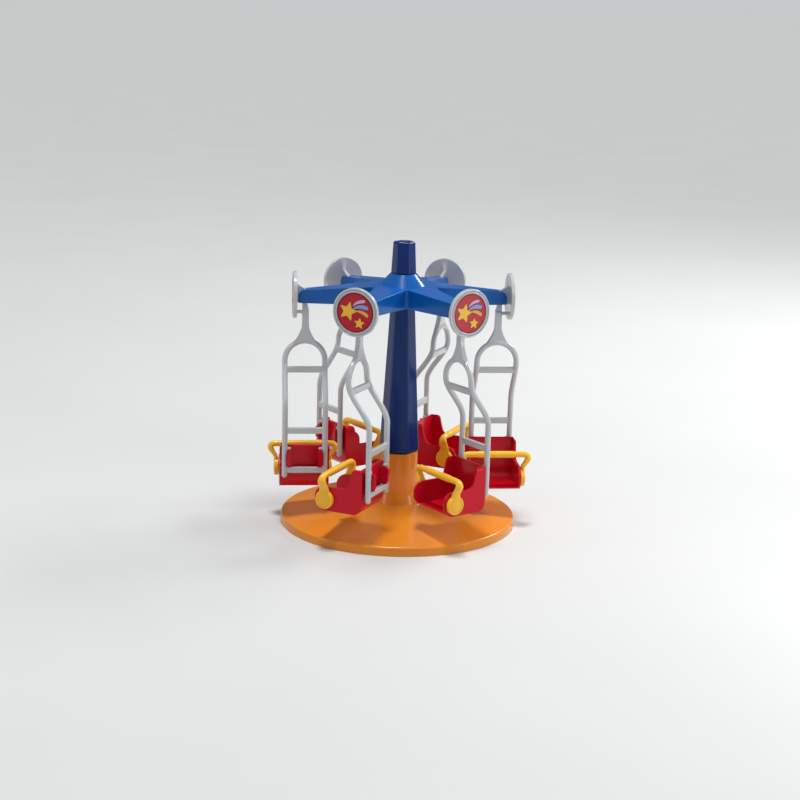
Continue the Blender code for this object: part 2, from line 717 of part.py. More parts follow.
def build():
    clear_scene()
    orange = make_material("orange_plastic", (0.76, 0.22, 0.026), 0.28)
    blue = make_material("blue_plastic", (0.007, 0.047, 0.32), 0.25)
    grey = make_material("silver_grey_plastic", (0.43, 0.44, 0.47), 0.35)
    red = make_material("red_plastic", (0.52, 0.007, 0.021), 0.28)
    yellow = make_material("yellow_plastic", (0.87, 0.46, 0.032), 0.3)
    print_red = make_material("badge_print", (0.52, 0.009, 0.026), 0.4)
    steel = make_material("zinc_steel", (0.55, 0.55, 0.53), 0.35, 1.0)

    floor = add_pivot("base_frame", (0, 0, 0), None)
    place("base_plate", make_base_plate(), Vector((0, 0, 0)), floor, orange)
    place("column", make_column(), Vector((0, 0, 0)), floor, blue)
    place("column_screw", make_screw(STUB_TOP - STUB_WALL, 1), Vector((0, 0, 0)), floor, steel)
    place("finial", make_finial(), Vector((0, 0, 0)), floor, blue)
    place("finial_screw", make_screw(FINIAL_SEAT, -1), Vector((0, 0, 0)), floor, steel)

    turning = Vector((0, 0, ARM_BOTTOM))
    rotor = add_pivot("rotor_pivot", turning, floor)
    place("star_spider", make_star_spider(), turning, rotor, blue)

    hinge = Vector((PIVOT_R, 0, PIVOT_Z))
    bar_hinge = at(HANGER_R, BAR_F, BAR_Z)
    drafts = (
        ("hanger", make_hanger(), hinge, grey),
        ("badge", make_badge(), hinge, print_red),
        ("seat", make_seat(), hinge, red),
        ("safety_bar", make_safety_bar(), bar_hinge, yellow),
    )
    originals = {}
    for index in range(SWINGS):
        number = index + 1
        turn = math.tau * index / SWINGS
        spot = Matrix.Rotation(turn, 4, "Z") @ hinge - turning
        swing = add_pivot(f"swing_{number}_pivot", spot, rotor, turn)
        bar = add_pivot(f"bar_{number}_pivot", bar_hinge - hinge, swing)
        for kind, draft, origin, material in drafts:
            parent = bar if kind == "safety_bar" else swing
            if kind in originals:
                copy_to(f"{kind}_{number}", originals[kind], parent)
            else:
                originals[kind] = place(f"{kind}_{number}", draft, origin, parent, material)


build()
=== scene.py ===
import json
import math

import bmesh
import bpy
from mathutils import Matrix, Vector


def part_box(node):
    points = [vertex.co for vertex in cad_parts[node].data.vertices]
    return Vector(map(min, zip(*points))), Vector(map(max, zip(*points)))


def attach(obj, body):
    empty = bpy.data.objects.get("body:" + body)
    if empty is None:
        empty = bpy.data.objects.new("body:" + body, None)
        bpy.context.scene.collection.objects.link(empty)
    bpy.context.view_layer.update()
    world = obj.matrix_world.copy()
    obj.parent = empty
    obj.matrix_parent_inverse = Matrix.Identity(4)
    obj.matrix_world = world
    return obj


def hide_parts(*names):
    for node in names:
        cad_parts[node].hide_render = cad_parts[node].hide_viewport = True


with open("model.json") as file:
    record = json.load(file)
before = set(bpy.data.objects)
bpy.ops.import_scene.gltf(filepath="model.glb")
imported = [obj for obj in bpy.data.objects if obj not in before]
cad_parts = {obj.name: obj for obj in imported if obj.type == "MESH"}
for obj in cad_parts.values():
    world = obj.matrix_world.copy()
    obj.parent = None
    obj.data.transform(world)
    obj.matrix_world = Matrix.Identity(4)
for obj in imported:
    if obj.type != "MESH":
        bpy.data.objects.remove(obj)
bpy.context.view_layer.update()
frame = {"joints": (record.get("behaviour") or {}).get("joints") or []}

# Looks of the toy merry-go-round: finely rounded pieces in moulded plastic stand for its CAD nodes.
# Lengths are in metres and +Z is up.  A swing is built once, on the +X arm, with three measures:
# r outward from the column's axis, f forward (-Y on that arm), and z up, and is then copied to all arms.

SWINGS = 6
GAP = 0.0003                    # between two pieces that touch


# ------------------------------------------------ places, from the frame

def joint_place(name):
    for joint in frame["joints"]:
        if joint["name"] == name:
            return Vector(joint["pos_m"])
    raise KeyError(name)


BASE_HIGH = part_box("base_plate")[1]
COLUMN_LOW, COLUMN_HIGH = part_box("column")
STAR_LOW, STAR_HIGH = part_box("star_spider")
FINIAL_LOW, FINIAL_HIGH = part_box("finial")
HANGER_LOW, HANGER_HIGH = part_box("hanger_1")
BADGE_LOW, BADGE_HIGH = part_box("badge_1")
SEAT_LOW, SEAT_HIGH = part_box("seat_1")
BAR_LOW, BAR_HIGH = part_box("safety_bar_1")
PIVOT = joint_place("swing_1_tilt")
BAR_PIVOT = joint_place("bar_1_fold")

# Base plate
BASE_RADIUS = BASE_HIGH.x
BASE_WALL = 0.0022
RIM_HEIGHT = 0.0070
RIM_ROUND = 0.0018
CROWN_RADIUS = 0.0186
CROWN_HEIGHT = 0.0150
COLLAR_RADIUS = 0.0163
COLLAR_TOP = 0.0236
STUB_RADIUS = 0.0146
STUB_WALL = 0.0024
STUB_TOP = COLUMN_LOW.z - GAP
SPIGOT_RADIUS = 0.0094
SPIGOT_BORE = 0.0066
SPIGOT_TOP = BASE_HIGH.z

# Column, with a journal and a key that the star and the finial hide
COLUMN_BOTTOM = COLUMN_LOW.z
COLUMN_TOP = STAR_LOW.z - 0.0005
COLUMN_BOTTOM_RADIUS = 0.0154
COLUMN_TOP_RADIUS = 0.0096
COLUMN_ROUND = 0.0024
COLUMN_EDGE = 0.0014
COLUMN_WALL = 0.0019
COLUMN_TURN = math.radians(-10) # the column's corners, from the arms
CORE_TOP = COLUMN_TOP - 0.0085
POST_RADIUS = 0.0044
JOURNAL_RADIUS = 0.0062
KEY_RADIUS = 0.0046
KEY_TOP = COLUMN_HIGH.z

# Screws
SCREW_RADIUS = 0.0015
SCREW_HOLE = SCREW_RADIUS + GAP
SCREW_HEAD_RADIUS = 0.0027
SCREW_HEAD_HEIGHT = 0.0018
SCREW_LENGTH = 0.0170
SCREW_HOLE_DEPTH = SCREW_LENGTH + 0.0010

# Star
ARM_END = STAR_HIGH.x
ARM_TIP_HALF = 0.0040
ARM_ROOT_HALF = 0.01225
ARM_ROOT = ARM_ROOT_HALF / math.tan(math.radians(30))
ARM_BOTTOM = STAR_LOW.z
ARM_TOP_TIP = ARM_BOTTOM + 0.0097
ARM_TOP_ROOT = ARM_BOTTOM + 0.0145
ARM_END_ROUND = 0.0050
NOTCH_ROUND = 0.0040
ARM_WALL = 0.0018
HOLLOW_END = 0.0630
HOLLOW_TOP = ARM_BOTTOM + 0.0082
RIB_HALF = 0.0007
RIB_RING = 0.0177
RIB_FIRST = 0.0267
RIB_PITCH = 0.0090
RIB_COUNT = 4
HUB_CONE_RADIUS = 0.0176
HUB_TOP_RADIUS = 0.0100
HUB_TOP = STAR_HIGH.z
HUB_BOSS_RADIUS = 0.0092
SLOT_HALF = 0.0015
SLOT_ROOT = 0.0660
TRUNNION_RADIUS = 0.0012
TRUNNION_HALF = 0.0031

# Finial
FINIAL_BOTTOM = FINIAL_LOW.z
FINIAL_TOP = FINIAL_HIGH.z
FINIAL_BOTTOM_RADIUS = 0.0097
FINIAL_TOP_RADIUS = 0.0086
FINIAL_ROUND = 0.0021
FINIAL_EDGE = 0.0013
FINIAL_SEAT = FINIAL_TOP - 0.0050
FINIAL_WELL_RADIUS = 0.0031
FINIAL_DISH_RADIUS = 0.0054
FINIAL_DISH_DEPTH = 0.0007

# Hanger
HANGER_R = (HANGER_LOW.x + HANGER_HIGH.x) / 2
RAIL_RADIUS = 0.00215
RAIL_HALF = (HANGER_HIGH.x - HANGER_LOW.x) / 2 - RAIL_RADIUS
RAIL_BOTTOM = HANGER_LOW.z
RAIL_LEAN = RAIL_RADIUS - HANGER_HIGH.y
LOOP_LEAN = 0.0013
LOOP_Z = 0.1255
BEND_TOP = 0.1260
BEND_BOTTOM = 0.0920
RUNG_CENTRES = (0.1190, 0.0753, 0.0447)
RUNG_HEIGHT = 0.0046
RUNG_DEPTH = 0.0030
LUG_Z = 0.0613
LUG_RADIUS = 0.0012
LUG_REACH = 0.0108
HANGER_VOXEL = 0.00034
FILLET_PASSES = 6
NECK_HALF = 0.0025
NECK_HALF_DEPTH = 0.0020
NECK_TOP = 0.1645
FLARE_TOP = 0.1525              # the neck is straight above this
FLARE_BEND = 0.1462
FLARE_HALF = 0.0125             # half the width where the webs meet the loop
TONGUE_HALF_DEPTH = 0.0012
TONGUE_IN = 0.0058              # from the hinge towards the column
TAB_BOTTOM = 0.1620
TAB_TOP = 0.1642
GUSSET_TOP = 0.1845
DISC_Z = (BADGE_LOW.z + BADGE_HIGH.z) / 2
DISC_RADIUS = HANGER_HIGH.z - DISC_Z
DISC_FRONT = BADGE_HIGH.x + GAP / 2
DISC_BACK = DISC_FRONT - 0.0029
BADGE_RADIUS = (BADGE_HIGH.z - BADGE_LOW.z) / 2
BADGE_FRONT = BADGE_HIGH.x
BADGE_BACK = BADGE_LOW.x

# Seat
SEAT_HALF = (SEAT_HIGH.x - SEAT_LOW.x) / 2
SEAT_WALL = 0.0018
SEAT_BACK = -0.0125
SEAT_BACK_ROUND = 0.0065
SEAT_CORNER = 0.0026
SEAT_FRONT = -SEAT_LOW.y
SEAT_BOTTOM = SEAT_LOW.z
SEAT_TOP = SEAT_HIGH.z
SEAT_ARMREST = SEAT_BOTTOM + 0.0181
WING_FOOT = -0.0010
WING_TOP = -0.0050
CLIP_BOTTOM = RUNG_CENTRES[2] + RUNG_HEIGHT / 2 + GAP
CLIP_TOP = LUG_Z - LUG_RADIUS - GAP
CLIP_REAR = -0.0192
CLIP_INNER = 0.0100
CLIP_HALF = RAIL_HALF - RAIL_RADIUS - GAP
EAR_HALF = 0.0140
EAR_FRONT = RAIL_LEAN - RAIL_RADIUS - GAP
EAR_REAR = -SEAT_HIGH.y

# Safety bar
BAR_F = -BAR_PIVOT.y
BAR_Z = BAR_PIVOT.z
BAR_DISC_RADIUS = BAR_Z - BAR_LOW.z
BAR_DISC_INNER = SEAT_HALF + GAP
BAR_DISC_OUTER = BAR_DISC_INNER + 0.0036
BAR_STUD_RADIUS = 0.0020
STUD_DEPTH = 0.0010             # how far a stud reaches into the seat's wall
BAR_RADIUS = 0.0023
GRIP_RADIUS = 0.00265
GRIP_HALF = 0.0125
GRIP_TAPER = 0.0022
DIMPLE_RADIUS = 0.00055
DIMPLE_PITCH = 0.0036
BAR_TOP = BAR_HIGH.z - GRIP_RADIUS

# Planes of flat outlines: (r, z) with depth along f, (f, z) with depth along r, and (-f, z) facing outward
RADIAL_PLANE = Matrix(((1, 0, 0, 0), (0, 0, -1, 0), (0, 1, 0, 0), (0, 0, 0, 1)))
FORWARD_PLANE = Matrix(((0, 0, -1, 0), (-1, 0, 0, 0), (0, 1, 0, 0), (0, 0, 0, 1)))
SIGN_PLANE = Matrix.Translation((0, 0, DISC_Z)) @ Matrix(
    ((0, 0, 1, 0), (1, 0, 0, 0), (0, 1, 0, 0), (0, 0, 0, 1)))


# ------------------------------------------------ mesh helpers

def link(name, data):
    item = bpy.data.objects.new(name, data)
    bpy.context.scene.collection.objects.link(item)
    return item


def from_bmesh(mesh):
    data = bpy.data.meshes.new("draft")
    mesh.to_mesh(data)
    mesh.free()
    return link("draft", data)


def bake(item, weld=True):
    """Turn a curve or a mesh with modifiers into a plain mesh object, and weld its doubled points."""
    bpy.context.view_layer.update()
    graph = bpy.context.evaluated_depsgraph_get()
    data = bpy.data.meshes.new_from_object(item.evaluated_get(graph))
    bpy.data.objects.remove(item)
    if not weld:
        return link("draft", data)
    mesh = bmesh.new()
    mesh.from_mesh(data)
    bmesh.ops.remove_doubles(mesh, verts=mesh.verts, dist=1e-6)
    bmesh.ops.recalc_face_normals(mesh, faces=mesh.faces)
    bpy.data.meshes.remove(data)
    return from_bmesh(mesh)


def combine(body, tools, operation, solver):
    for tool in tools:
        boolean = body.modifiers.new(operation, "BOOLEAN")
        boolean.operation = operation
        boolean.solver = solver
        boolean.object = tool
        body = bake(body)
        bpy.data.objects.remove(tool)
    return body


def join(body, *tools, solver="EXACT"):
    return combine(body, tools, "UNION", solver)


def cut(body, *tools, solver="EXACT"):
    return combine(body, tools, "DIFFERENCE", solver)


def soften(body, width, segments=3, angle=32):
    """Round every edge sharper than the angle, in degrees."""
    bevel = body.modifiers.new("soften", "BEVEL")
    bevel.width = width
    bevel.segments = segments
    bevel.limit_method = "ANGLE"
    bevel.angle_limit = math.radians(angle)
    bevel.use_clamp_overlap = True
    bevel.harden_normals = True
    return bake(body, weld=False)


def melt(body, voxel, passes):
    """Fuse overlapping solids into one skin with small fillets where they meet."""
    remesh = body.modifiers.new("fuse", "REMESH")
    remesh.mode = "VOXEL"
    remesh.voxel_size = voxel
    smooth = body.modifiers.new("fillet", "SMOOTH")
    smooth.factor = 0.5
    smooth.iterations = passes
    return bake(body, weld=False)


def gather(drafts):
    """Several drafts in one object, side by side or overlapping."""
    mesh = bmesh.new()
    for draft in drafts:
        mesh.from_mesh(draft.data)
        bpy.data.objects.remove(draft)
    return from_bmesh(mesh)


def around(draft, count=SWINGS):
    """Copies of one draft, turned about +Z, in one object."""
    mesh = bmesh.new()
    for index in range(count):
        copy = draft.data.copy()
        copy.transform(Matrix.Rotation(math.tau * index / count, 4, "Z"))
        mesh.from_mesh(copy)
        bpy.data.meshes.remove(copy)
    bpy.data.objects.remove(draft)
    return from_bmesh(mesh)


# ------------------------------------------------ shape helpers

def at(r, f, z):
    """A point of the swing on the +X arm."""
    return Vector((r, -f, z))


def rounded(corners, steps=8):
    """Outline points for corners (x, y, radius), with an arc where the radius isn't zero."""
    points = []
    for index, (x, y, radius) in enumerate(corners):
        here = Vector((x, y))
        if radius == 0:
            points.append(here)
            continue
        before = (Vector(corners[index - 1][:2]) - here).normalized()
        after = (Vector(corners[(index + 1) % len(corners)][:2]) - here).normalized()
        half = before.angle(after) / 2
        centre = here + (before + after).normalized() * radius / math.sin(half)
        start = here + before * radius / math.tan(half) - centre
        end = here + after * radius / math.tan(half) - centre
        for step in range(steps + 1):
            points.append(centre + start.slerp(end, step / steps) * radius)
    return points


def polyline(points, dimensions):
    """A curve with straight stretches between its points."""
    curve = bpy.data.curves.new("draft", "CURVE")
    curve.dimensions = dimensions
    spline = curve.splines.new("POLY")
    spline.points.add(len(points) - 1)
    for point, place in zip(spline.points, points):
        point.co = (*Vector(place).to_3d(), 1)
    return curve


def plate(outline, half_depth, plane, shift=0.0):
    """A flat outline, given depth on both sides of its plane."""
    curve = polyline(outline, "2D")
    curve.fill_mode = "BOTH"
    curve.extrude = half_depth
    curve.splines[0].use_cyclic_u = True
    draft = bake(link("draft", curve))
    mesh = bmesh.new()
    mesh.from_mesh(draft.data)
    bmesh.ops.dissolve_limit(mesh, angle_limit=math.radians(1), verts=mesh.verts, edges=mesh.edges)
    mesh.to_mesh(draft.data)
    mesh.free()
    draft.data.transform(plane @ Matrix.Translation((0, 0, shift)))
    return draft


def tube(path, radius, resolution=6):
    curve = polyline(path, "3D")
    curve.bevel_depth = radius
    curve.bevel_resolution = resolution
    curve.use_fill_caps = True
    return bake(link("draft", curve))


def rod(start, end, radius, sides=48):
    axis = end - start
    turn = axis.to_track_quat("Z", "Y").to_matrix().to_4x4()
    place = Matrix.Translation((start + end) / 2) @ turn
    mesh = bmesh.new()
    bmesh.ops.create_cone(mesh, cap_ends=True, segments=sides, radius1=radius, radius2=radius,
                          depth=axis.length, matrix=place)
    return from_bmesh(mesh)


def upright(bottom, top, radius):
    return rod(Vector((0, 0, bottom)), Vector((0, 0, top)), radius)


def ball(centre, radius):
    mesh = bmesh.new()
    bmesh.ops.create_uvsphere(mesh, u_segments=24, v_segments=16, radius=radius,
                              matrix=Matrix.Translation(centre))
    return from_bmesh(mesh)


def block(centre, size):
    mesh = bmesh.new()
    bmesh.ops.create_cube(mesh, size=1.0, matrix=Matrix.Translation(centre) @ Matrix.Diagonal((*size, 1)))
    return from_bmesh(mesh)


def turned(profile, sides=96, place=Matrix.Identity(4)):
    """A closed outline of (radius, height) points, turned about +Z, and moved to its place."""
    mesh = bmesh.new()
    verts = [mesh.verts.new((x, 0, z)) for x, z in profile]
    for index, vert in enumerate(verts):
        if verts[index - 1].co.x > 0 or vert.co.x > 0:
            mesh.edges.new((verts[index - 1], vert))
    draft = from_bmesh(mesh)
    screw = draft.modifiers.new("turn", "SCREW")
    screw.steps = sides
    screw.render_steps = sides
    screw.use_merge_vertices = True
    screw.merge_threshold = 1e-5
    draft = bake(draft)
    draft.data.transform(place)
    return draft


def facing_outward(side=1):
    """A place for turned pieces whose axis runs along r: +Z becomes outward, or inward."""
    return Matrix.Rotation(math.radians(90) * side, 4, "Y")


def loft(rings):
    """A skin through rings of points, with a cap on the first and the last."""
    mesh = bmesh.new()
    loops = []
    for ring in rings:
        verts = [mesh.verts.new(point) for point in ring]
        loops.append([mesh.edges.new((verts[index - 1], vert)) for index, vert in enumerate(verts)])
    for lower, upper in zip(loops, loops[1:]):
        bmesh.ops.bridge_loops(mesh, edges=lower + upper)
    for end in (loops[0], loops[-1]):
        bmesh.ops.contextual_create(mesh, geom=end)
    bmesh.ops.recalc_face_normals(mesh, faces=mesh.faces)
    return from_bmesh(mesh)


def hexagon(radius, corner_round, z, steps=10):
    """A level hexagon with rounded corners, turned as the column is."""
    corners = []
    for index in range(6):
        angle = COLUMN_TURN + math.tau * index / 6
        corners.append((radius * math.cos(angle), radius * math.sin(angle), corner_round))
    return [(x, y, z) for x, y in rounded(corners, steps)]


def rounded_rim(radius, corner_round, z, edge, direction, steps=6):
    """Hexagons that turn a prism's side into its end, as a quarter circle of radius edge."""
    rings = []
    for step in range(steps + 1):
        angle = math.pi / 2 * step / steps
        inset = edge * (1 - math.cos(angle))
        rings.append(hexagon(radius - inset, corner_round, z - direction * edge * (1 - math.sin(angle))))
    return rings


SIGN_PLACE = Matrix.Translation((0, 0, DISC_Z)) @ facing_outward()


# ------------------------------------------------ fixed pieces

def make_base_plate():
    stub_bore = STUB_RADIUS - STUB_WALL
    profile = rounded([
        (BASE_RADIUS, 0, 0.0004),
        (BASE_RADIUS, RIM_HEIGHT, RIM_ROUND),
        (CROWN_RADIUS, CROWN_HEIGHT, 0.0030),
        (COLLAR_RADIUS, COLLAR_TOP, 0.0005),
        (STUB_RADIUS, COLLAR_TOP, 0.0004),
        (STUB_RADIUS, STUB_TOP, 0.0005),
        (SPIGOT_RADIUS, STUB_TOP, 0.0003),
        (SPIGOT_RADIUS, SPIGOT_TOP, 0.0009),
        (SPIGOT_BORE, SPIGOT_TOP, 0.0003),
        (SPIGOT_BORE, STUB_TOP, 0),
        (SCREW_HOLE, STUB_TOP, 0),
        (SCREW_HOLE, STUB_TOP - STUB_WALL, 0),
        (stub_bore, STUB_TOP - STUB_WALL, 0.0005),
        (stub_bore, COLLAR_TOP - BASE_WALL, 0.0005),
        (COLLAR_RADIUS - BASE_WALL, COLLAR_TOP - BASE_WALL, 0.0005),
        (CROWN_RADIUS - BASE_WALL, CROWN_HEIGHT - BASE_WALL, 0.0010),
        (BASE_RADIUS - BASE_WALL, RIM_HEIGHT - BASE_WALL, 0.0010),
        (BASE_RADIUS - BASE_WALL, 0, 0.0004),
    ])
    return turned(profile, sides=192)


def make_column():
    rings = rounded_rim(COLUMN_BOTTOM_RADIUS, COLUMN_ROUND, COLUMN_BOTTOM, COLUMN_EDGE, -1)
    rings.reverse()
    rings.append(hexagon(COLUMN_TOP_RADIUS, COLUMN_ROUND, COLUMN_TOP))
    core = loft([
        hexagon(COLUMN_BOTTOM_RADIUS - COLUMN_WALL, 0, COLUMN_BOTTOM - COLUMN_EDGE),
        hexagon(COLUMN_TOP_RADIUS - COLUMN_WALL, 0, CORE_TOP),
    ])
    core = cut(core, upright(0, KEY_TOP, POST_RADIUS))
    journal = upright(COLUMN_TOP - COLUMN_EDGE, HUB_TOP + 0.0002, JOURNAL_RADIUS)
    key = loft([hexagon(KEY_RADIUS, 0, HUB_TOP - COLUMN_EDGE), hexagon(KEY_RADIUS, 0, KEY_TOP)])
    lower_hole = upright(0, COLUMN_BOTTOM + SCREW_HOLE_DEPTH, SCREW_HOLE)
    upper_hole = upright(FINIAL_SEAT - SCREW_HOLE_DEPTH, FINIAL_TOP, SCREW_HOLE)
    return cut(join(loft(rings), journal, key), core, lower_hole, upper_hole)


def make_screw(head_bottom, direction):
    """A pan-head screw with a cross recess, its head against head_bottom and its shank along direction."""
    head = SCREW_HEAD_HEIGHT
    profile = rounded([
        (0, -head, 0),
        (SCREW_HEAD_RADIUS, -head, 0.0008),
        (SCREW_HEAD_RADIUS, 0, 0.0002),
        (SCREW_RADIUS, 0, 0),
        (SCREW_RADIUS, SCREW_LENGTH - 0.0020, 0),
        (0.0004, SCREW_LENGTH, 0),
        (0, SCREW_LENGTH, 0),
    ])
    up = Matrix.Diagonal((1, direction, direction, 1))
    body = turned(profile, 48, Matrix.Translation((0, 0, head_bottom - direction * GAP)) @ up)
    face = Vector((0, 0, head_bottom - direction * (GAP + head)))
    wing = SCREW_HEAD_RADIUS * 1.15
    blade = 0.0007
    return cut(body, block(face, (wing, blade, head)), block(face, (blade, wing, head)))


def make_finial():
    rings = rounded_rim(FINIAL_BOTTOM_RADIUS, FINIAL_ROUND, FINIAL_BOTTOM, 0.0003, -1, steps=3)
    rings.reverse()
    rings += rounded_rim(FINIAL_TOP_RADIUS, FINIAL_ROUND, FINIAL_TOP, FINIAL_EDGE, 1)
    socket_radius = KEY_RADIUS + GAP / math.cos(math.radians(30))
    socket = loft([
        hexagon(socket_radius, 0, FINIAL_BOTTOM - GAP),
        hexagon(socket_radius, 0, KEY_TOP + GAP),
    ])
    hole = upright(FINIAL_BOTTOM, FINIAL_TOP, SCREW_HOLE)
    well = turned(rounded([
        (0, FINIAL_SEAT, 0),
        (FINIAL_WELL_RADIUS, FINIAL_SEAT, 0),
        (FINIAL_WELL_RADIUS, FINIAL_TOP - FINIAL_DISH_DEPTH, 0.0006),
        (FINIAL_DISH_RADIUS, FINIAL_TOP - FINIAL_DISH_DEPTH * 0.6, 0.0006),
        (FINIAL_DISH_RADIUS + 0.0006, FINIAL_TOP + GAP, 0),
        (0, FINIAL_TOP + GAP, 0),
    ]))
    return cut(loft(rings), socket, hole, well)


# ------------------------------------------------ star

def arm_half_width(r):
    """Half the width of an arm, which narrows from its root to its tip."""
    share = (r - ARM_ROOT) / (ARM_END - ARM_ROOT)
    return ARM_ROOT_HALF + (ARM_TIP_HALF - ARM_ROOT_HALF) * share


def star_prism(end, tip_half, root_half, bottom, tip_top, root_top):
    """A star with six arms, level below and sloping to the tips above."""
    mesh = bmesh.new()
    corners = []
    for index in range(SWINGS):
        turn = Matrix.Rotation(math.tau * index / SWINGS, 3, "Z")
        notch = Vector((root_half / math.sin(math.pi / SWINGS), 0, 0))
        notch.rotate(Matrix.Rotation(math.pi / SWINGS, 3, "Z"))
        for corner in (Vector((end, -tip_half, 0)), Vector((end, tip_half, 0)), notch):
            corners.append(mesh.verts.new(turn @ corner + Vector((0, 0, bottom))))
    flat = bmesh.ops.contextual_create(mesh, geom=corners)["faces"]
    raised = bmesh.ops.extrude_face_region(mesh, geom=flat)["geom"]
    top = [item for item in raised if isinstance(item, bmesh.types.BMVert)]
    notches = []
    for vert in top:
        at_tip = vert.co.xy.length > (end + root_half) / 2
        vert.co.z = tip_top if at_tip else root_top
        if not at_tip:
            notches.append(vert)
    notches.sort(key=lambda vert: math.atan2(vert.co.y, vert.co.x))
    for index, vert in enumerate(notches):
        bmesh.ops.connect_verts(mesh, verts=[notches[index - 1], vert])
    bmesh.ops.recalc_face_normals(mesh, faces=mesh.faces)
    return mesh


def round_tips(mesh):
    """Round the upper edge across each arm's end, and the upright edges between the arms."""
    notches = []
    for edge in mesh.edges:
        upright_edge = (edge.verts[0].co - edge.verts[1].co).xy.length < GAP / 10
        if upright_edge and edge.verts[0].co.xy.length < ARM_ROOT_HALF * 2.5:
            notches.append(edge)
    bmesh.ops.bevel(mesh, geom=notches, offset=NOTCH_ROUND, segments=8, profile=0.5, affect="EDGES")
    edges = []
    for edge in mesh.edges:
        middle = (edge.verts[0].co + edge.verts[1].co) / 2
        if middle.xy.length > ARM_END - GAP and middle.z > ARM_TOP_TIP - GAP:
            edges.append(edge)
    bmesh.ops.bevel(mesh, geom=edges, offset=ARM_END_ROUND, segments=12, profile=0.5, affect="EDGES")
    return mesh


def make_hollows():
    """The room under the star, round the hub's boss and between ribs."""
    bottom = ARM_BOTTOM - ARM_WALL
    room = from_bmesh(star_prism(HOLLOW_END, arm_half_width(HOLLOW_END) - ARM_WALL,
                                 ARM_ROOT_HALF - ARM_WALL, bottom, HOLLOW_TOP, HOLLOW_TOP))
    boss = upright(0, FINIAL_TOP, HUB_BOSS_RADIUS)
    ring_bore = upright(0, FINIAL_TOP * 2, RIB_RING - RIB_HALF)
    ring = cut(upright(0, FINIAL_TOP, RIB_RING + RIB_HALF), ring_bore, solver="MANIFOLD")
    tools = [boss, ring]
    for index in range(RIB_COUNT):
        middle = (RIB_FIRST + index * RIB_PITCH, 0, HOLLOW_TOP)
        tools.append(around(block(middle, (RIB_HALF * 2, ARM_ROOT_HALF * 2.2, HOLLOW_TOP))))
    return cut(room, *tools, solver="MANIFOLD")


def make_star_spider():
    body = from_bmesh(round_tips(star_prism(ARM_END, ARM_TIP_HALF, ARM_ROOT_HALF,
                                            ARM_BOTTOM, ARM_TOP_TIP, ARM_TOP_ROOT)))
    slot_length = ARM_END - SLOT_ROOT + ARM_WALL
    slot = block((SLOT_ROOT + slot_length / 2, 0, PIVOT.z), (slot_length, SLOT_HALF * 2, ARM_END))
    body = soften(cut(body, around(slot), solver="MANIFOLD"), 0.0004)
    cone = turned(rounded([
        (0, ARM_TOP_ROOT - ARM_WALL, 0),
        (HUB_CONE_RADIUS + 0.0010, ARM_TOP_ROOT - ARM_WALL, 0),
        (HUB_CONE_RADIUS, ARM_TOP_ROOT, 0.0030),
        (HUB_TOP_RADIUS, HUB_TOP, 0.0004),
        (0, HUB_TOP, 0),
    ]))
    bore = upright(0, FINIAL_TOP, JOURNAL_RADIUS + GAP)
    hole_end = TRUNNION_HALF + GAP
    hole = rod(at(PIVOT.x, -hole_end, PIVOT.z), at(PIVOT.x, hole_end, PIVOT.z), TRUNNION_RADIUS + GAP, 24)
    body = join(body, cone, solver="MANIFOLD")
    return cut(body, make_hollows(), bore, around(hole), solver="MANIFOLD")


# ------------------------------------------------ hanger

def rail_f(z):
    """How far forward the hanger runs at a height: level with its hinge above, behind the seat below."""
    share = min(1.0, max(0.0, (BEND_TOP - z) / (BEND_TOP - BEND_BOTTOM)))
    ease = share * share * (3 - 2 * share)
    return LOOP_LEAN + (RAIL_LEAN - LOOP_LEAN) * ease


def loop_path(bend_steps=24, arc_steps=40):
    """The rails and the round top between them, from one lower end to the other."""
    heights = [RAIL_BOTTOM + RAIL_RADIUS]
    for step in range(bend_steps + 1):
        heights.append(BEND_BOTTOM + (LOOP_Z - BEND_BOTTOM) * step / bend_steps)
    left = [(HANGER_R - RAIL_HALF, z) for z in heights]
    right = [(HANGER_R + RAIL_HALF, z) for z in reversed(heights)]
    arc = []
    for step in range(1, arc_steps):
        angle = math.pi * (1 - step / arc_steps)
        arc.append((HANGER_R + RAIL_HALF * math.cos(angle), LOOP_Z + RAIL_HALF * math.sin(angle)))
    return [at(r, rail_f(z), z) for r, z in left + arc + right]


def neck_outline(steps=16):
    """The neck and the webs that flare from it on to the round top of the loop."""
    web_angle = math.asin(FLARE_HALF / RAIL_HALF)
    start = Vector((NECK_HALF + 0.0002, FLARE_TOP))
    bend = Vector((NECK_HALF + 0.0006, FLARE_BEND))
    end = Vector((RAIL_HALF * math.sin(web_angle), LOOP_Z + RAIL_HALF * math.cos(web_angle)))
    side = [Vector((NECK_HALF, NECK_TOP))]
    for step in range(steps + 1):
        share = step / steps
        side.append(start.lerp(bend, share).lerp(bend.lerp(end, share), share))
    for step in range(steps - 1, -1, -1):
        angle = web_angle * step / steps
        side.append(Vector((RAIL_HALF * math.sin(angle), LOOP_Z + RAIL_HALF * math.cos(angle))))
    mirrored = [Vector((-point.x, point.y)) for point in reversed(side[:-1])]
    return [(HANGER_R + point.x, point.y) for point in side + mirrored]


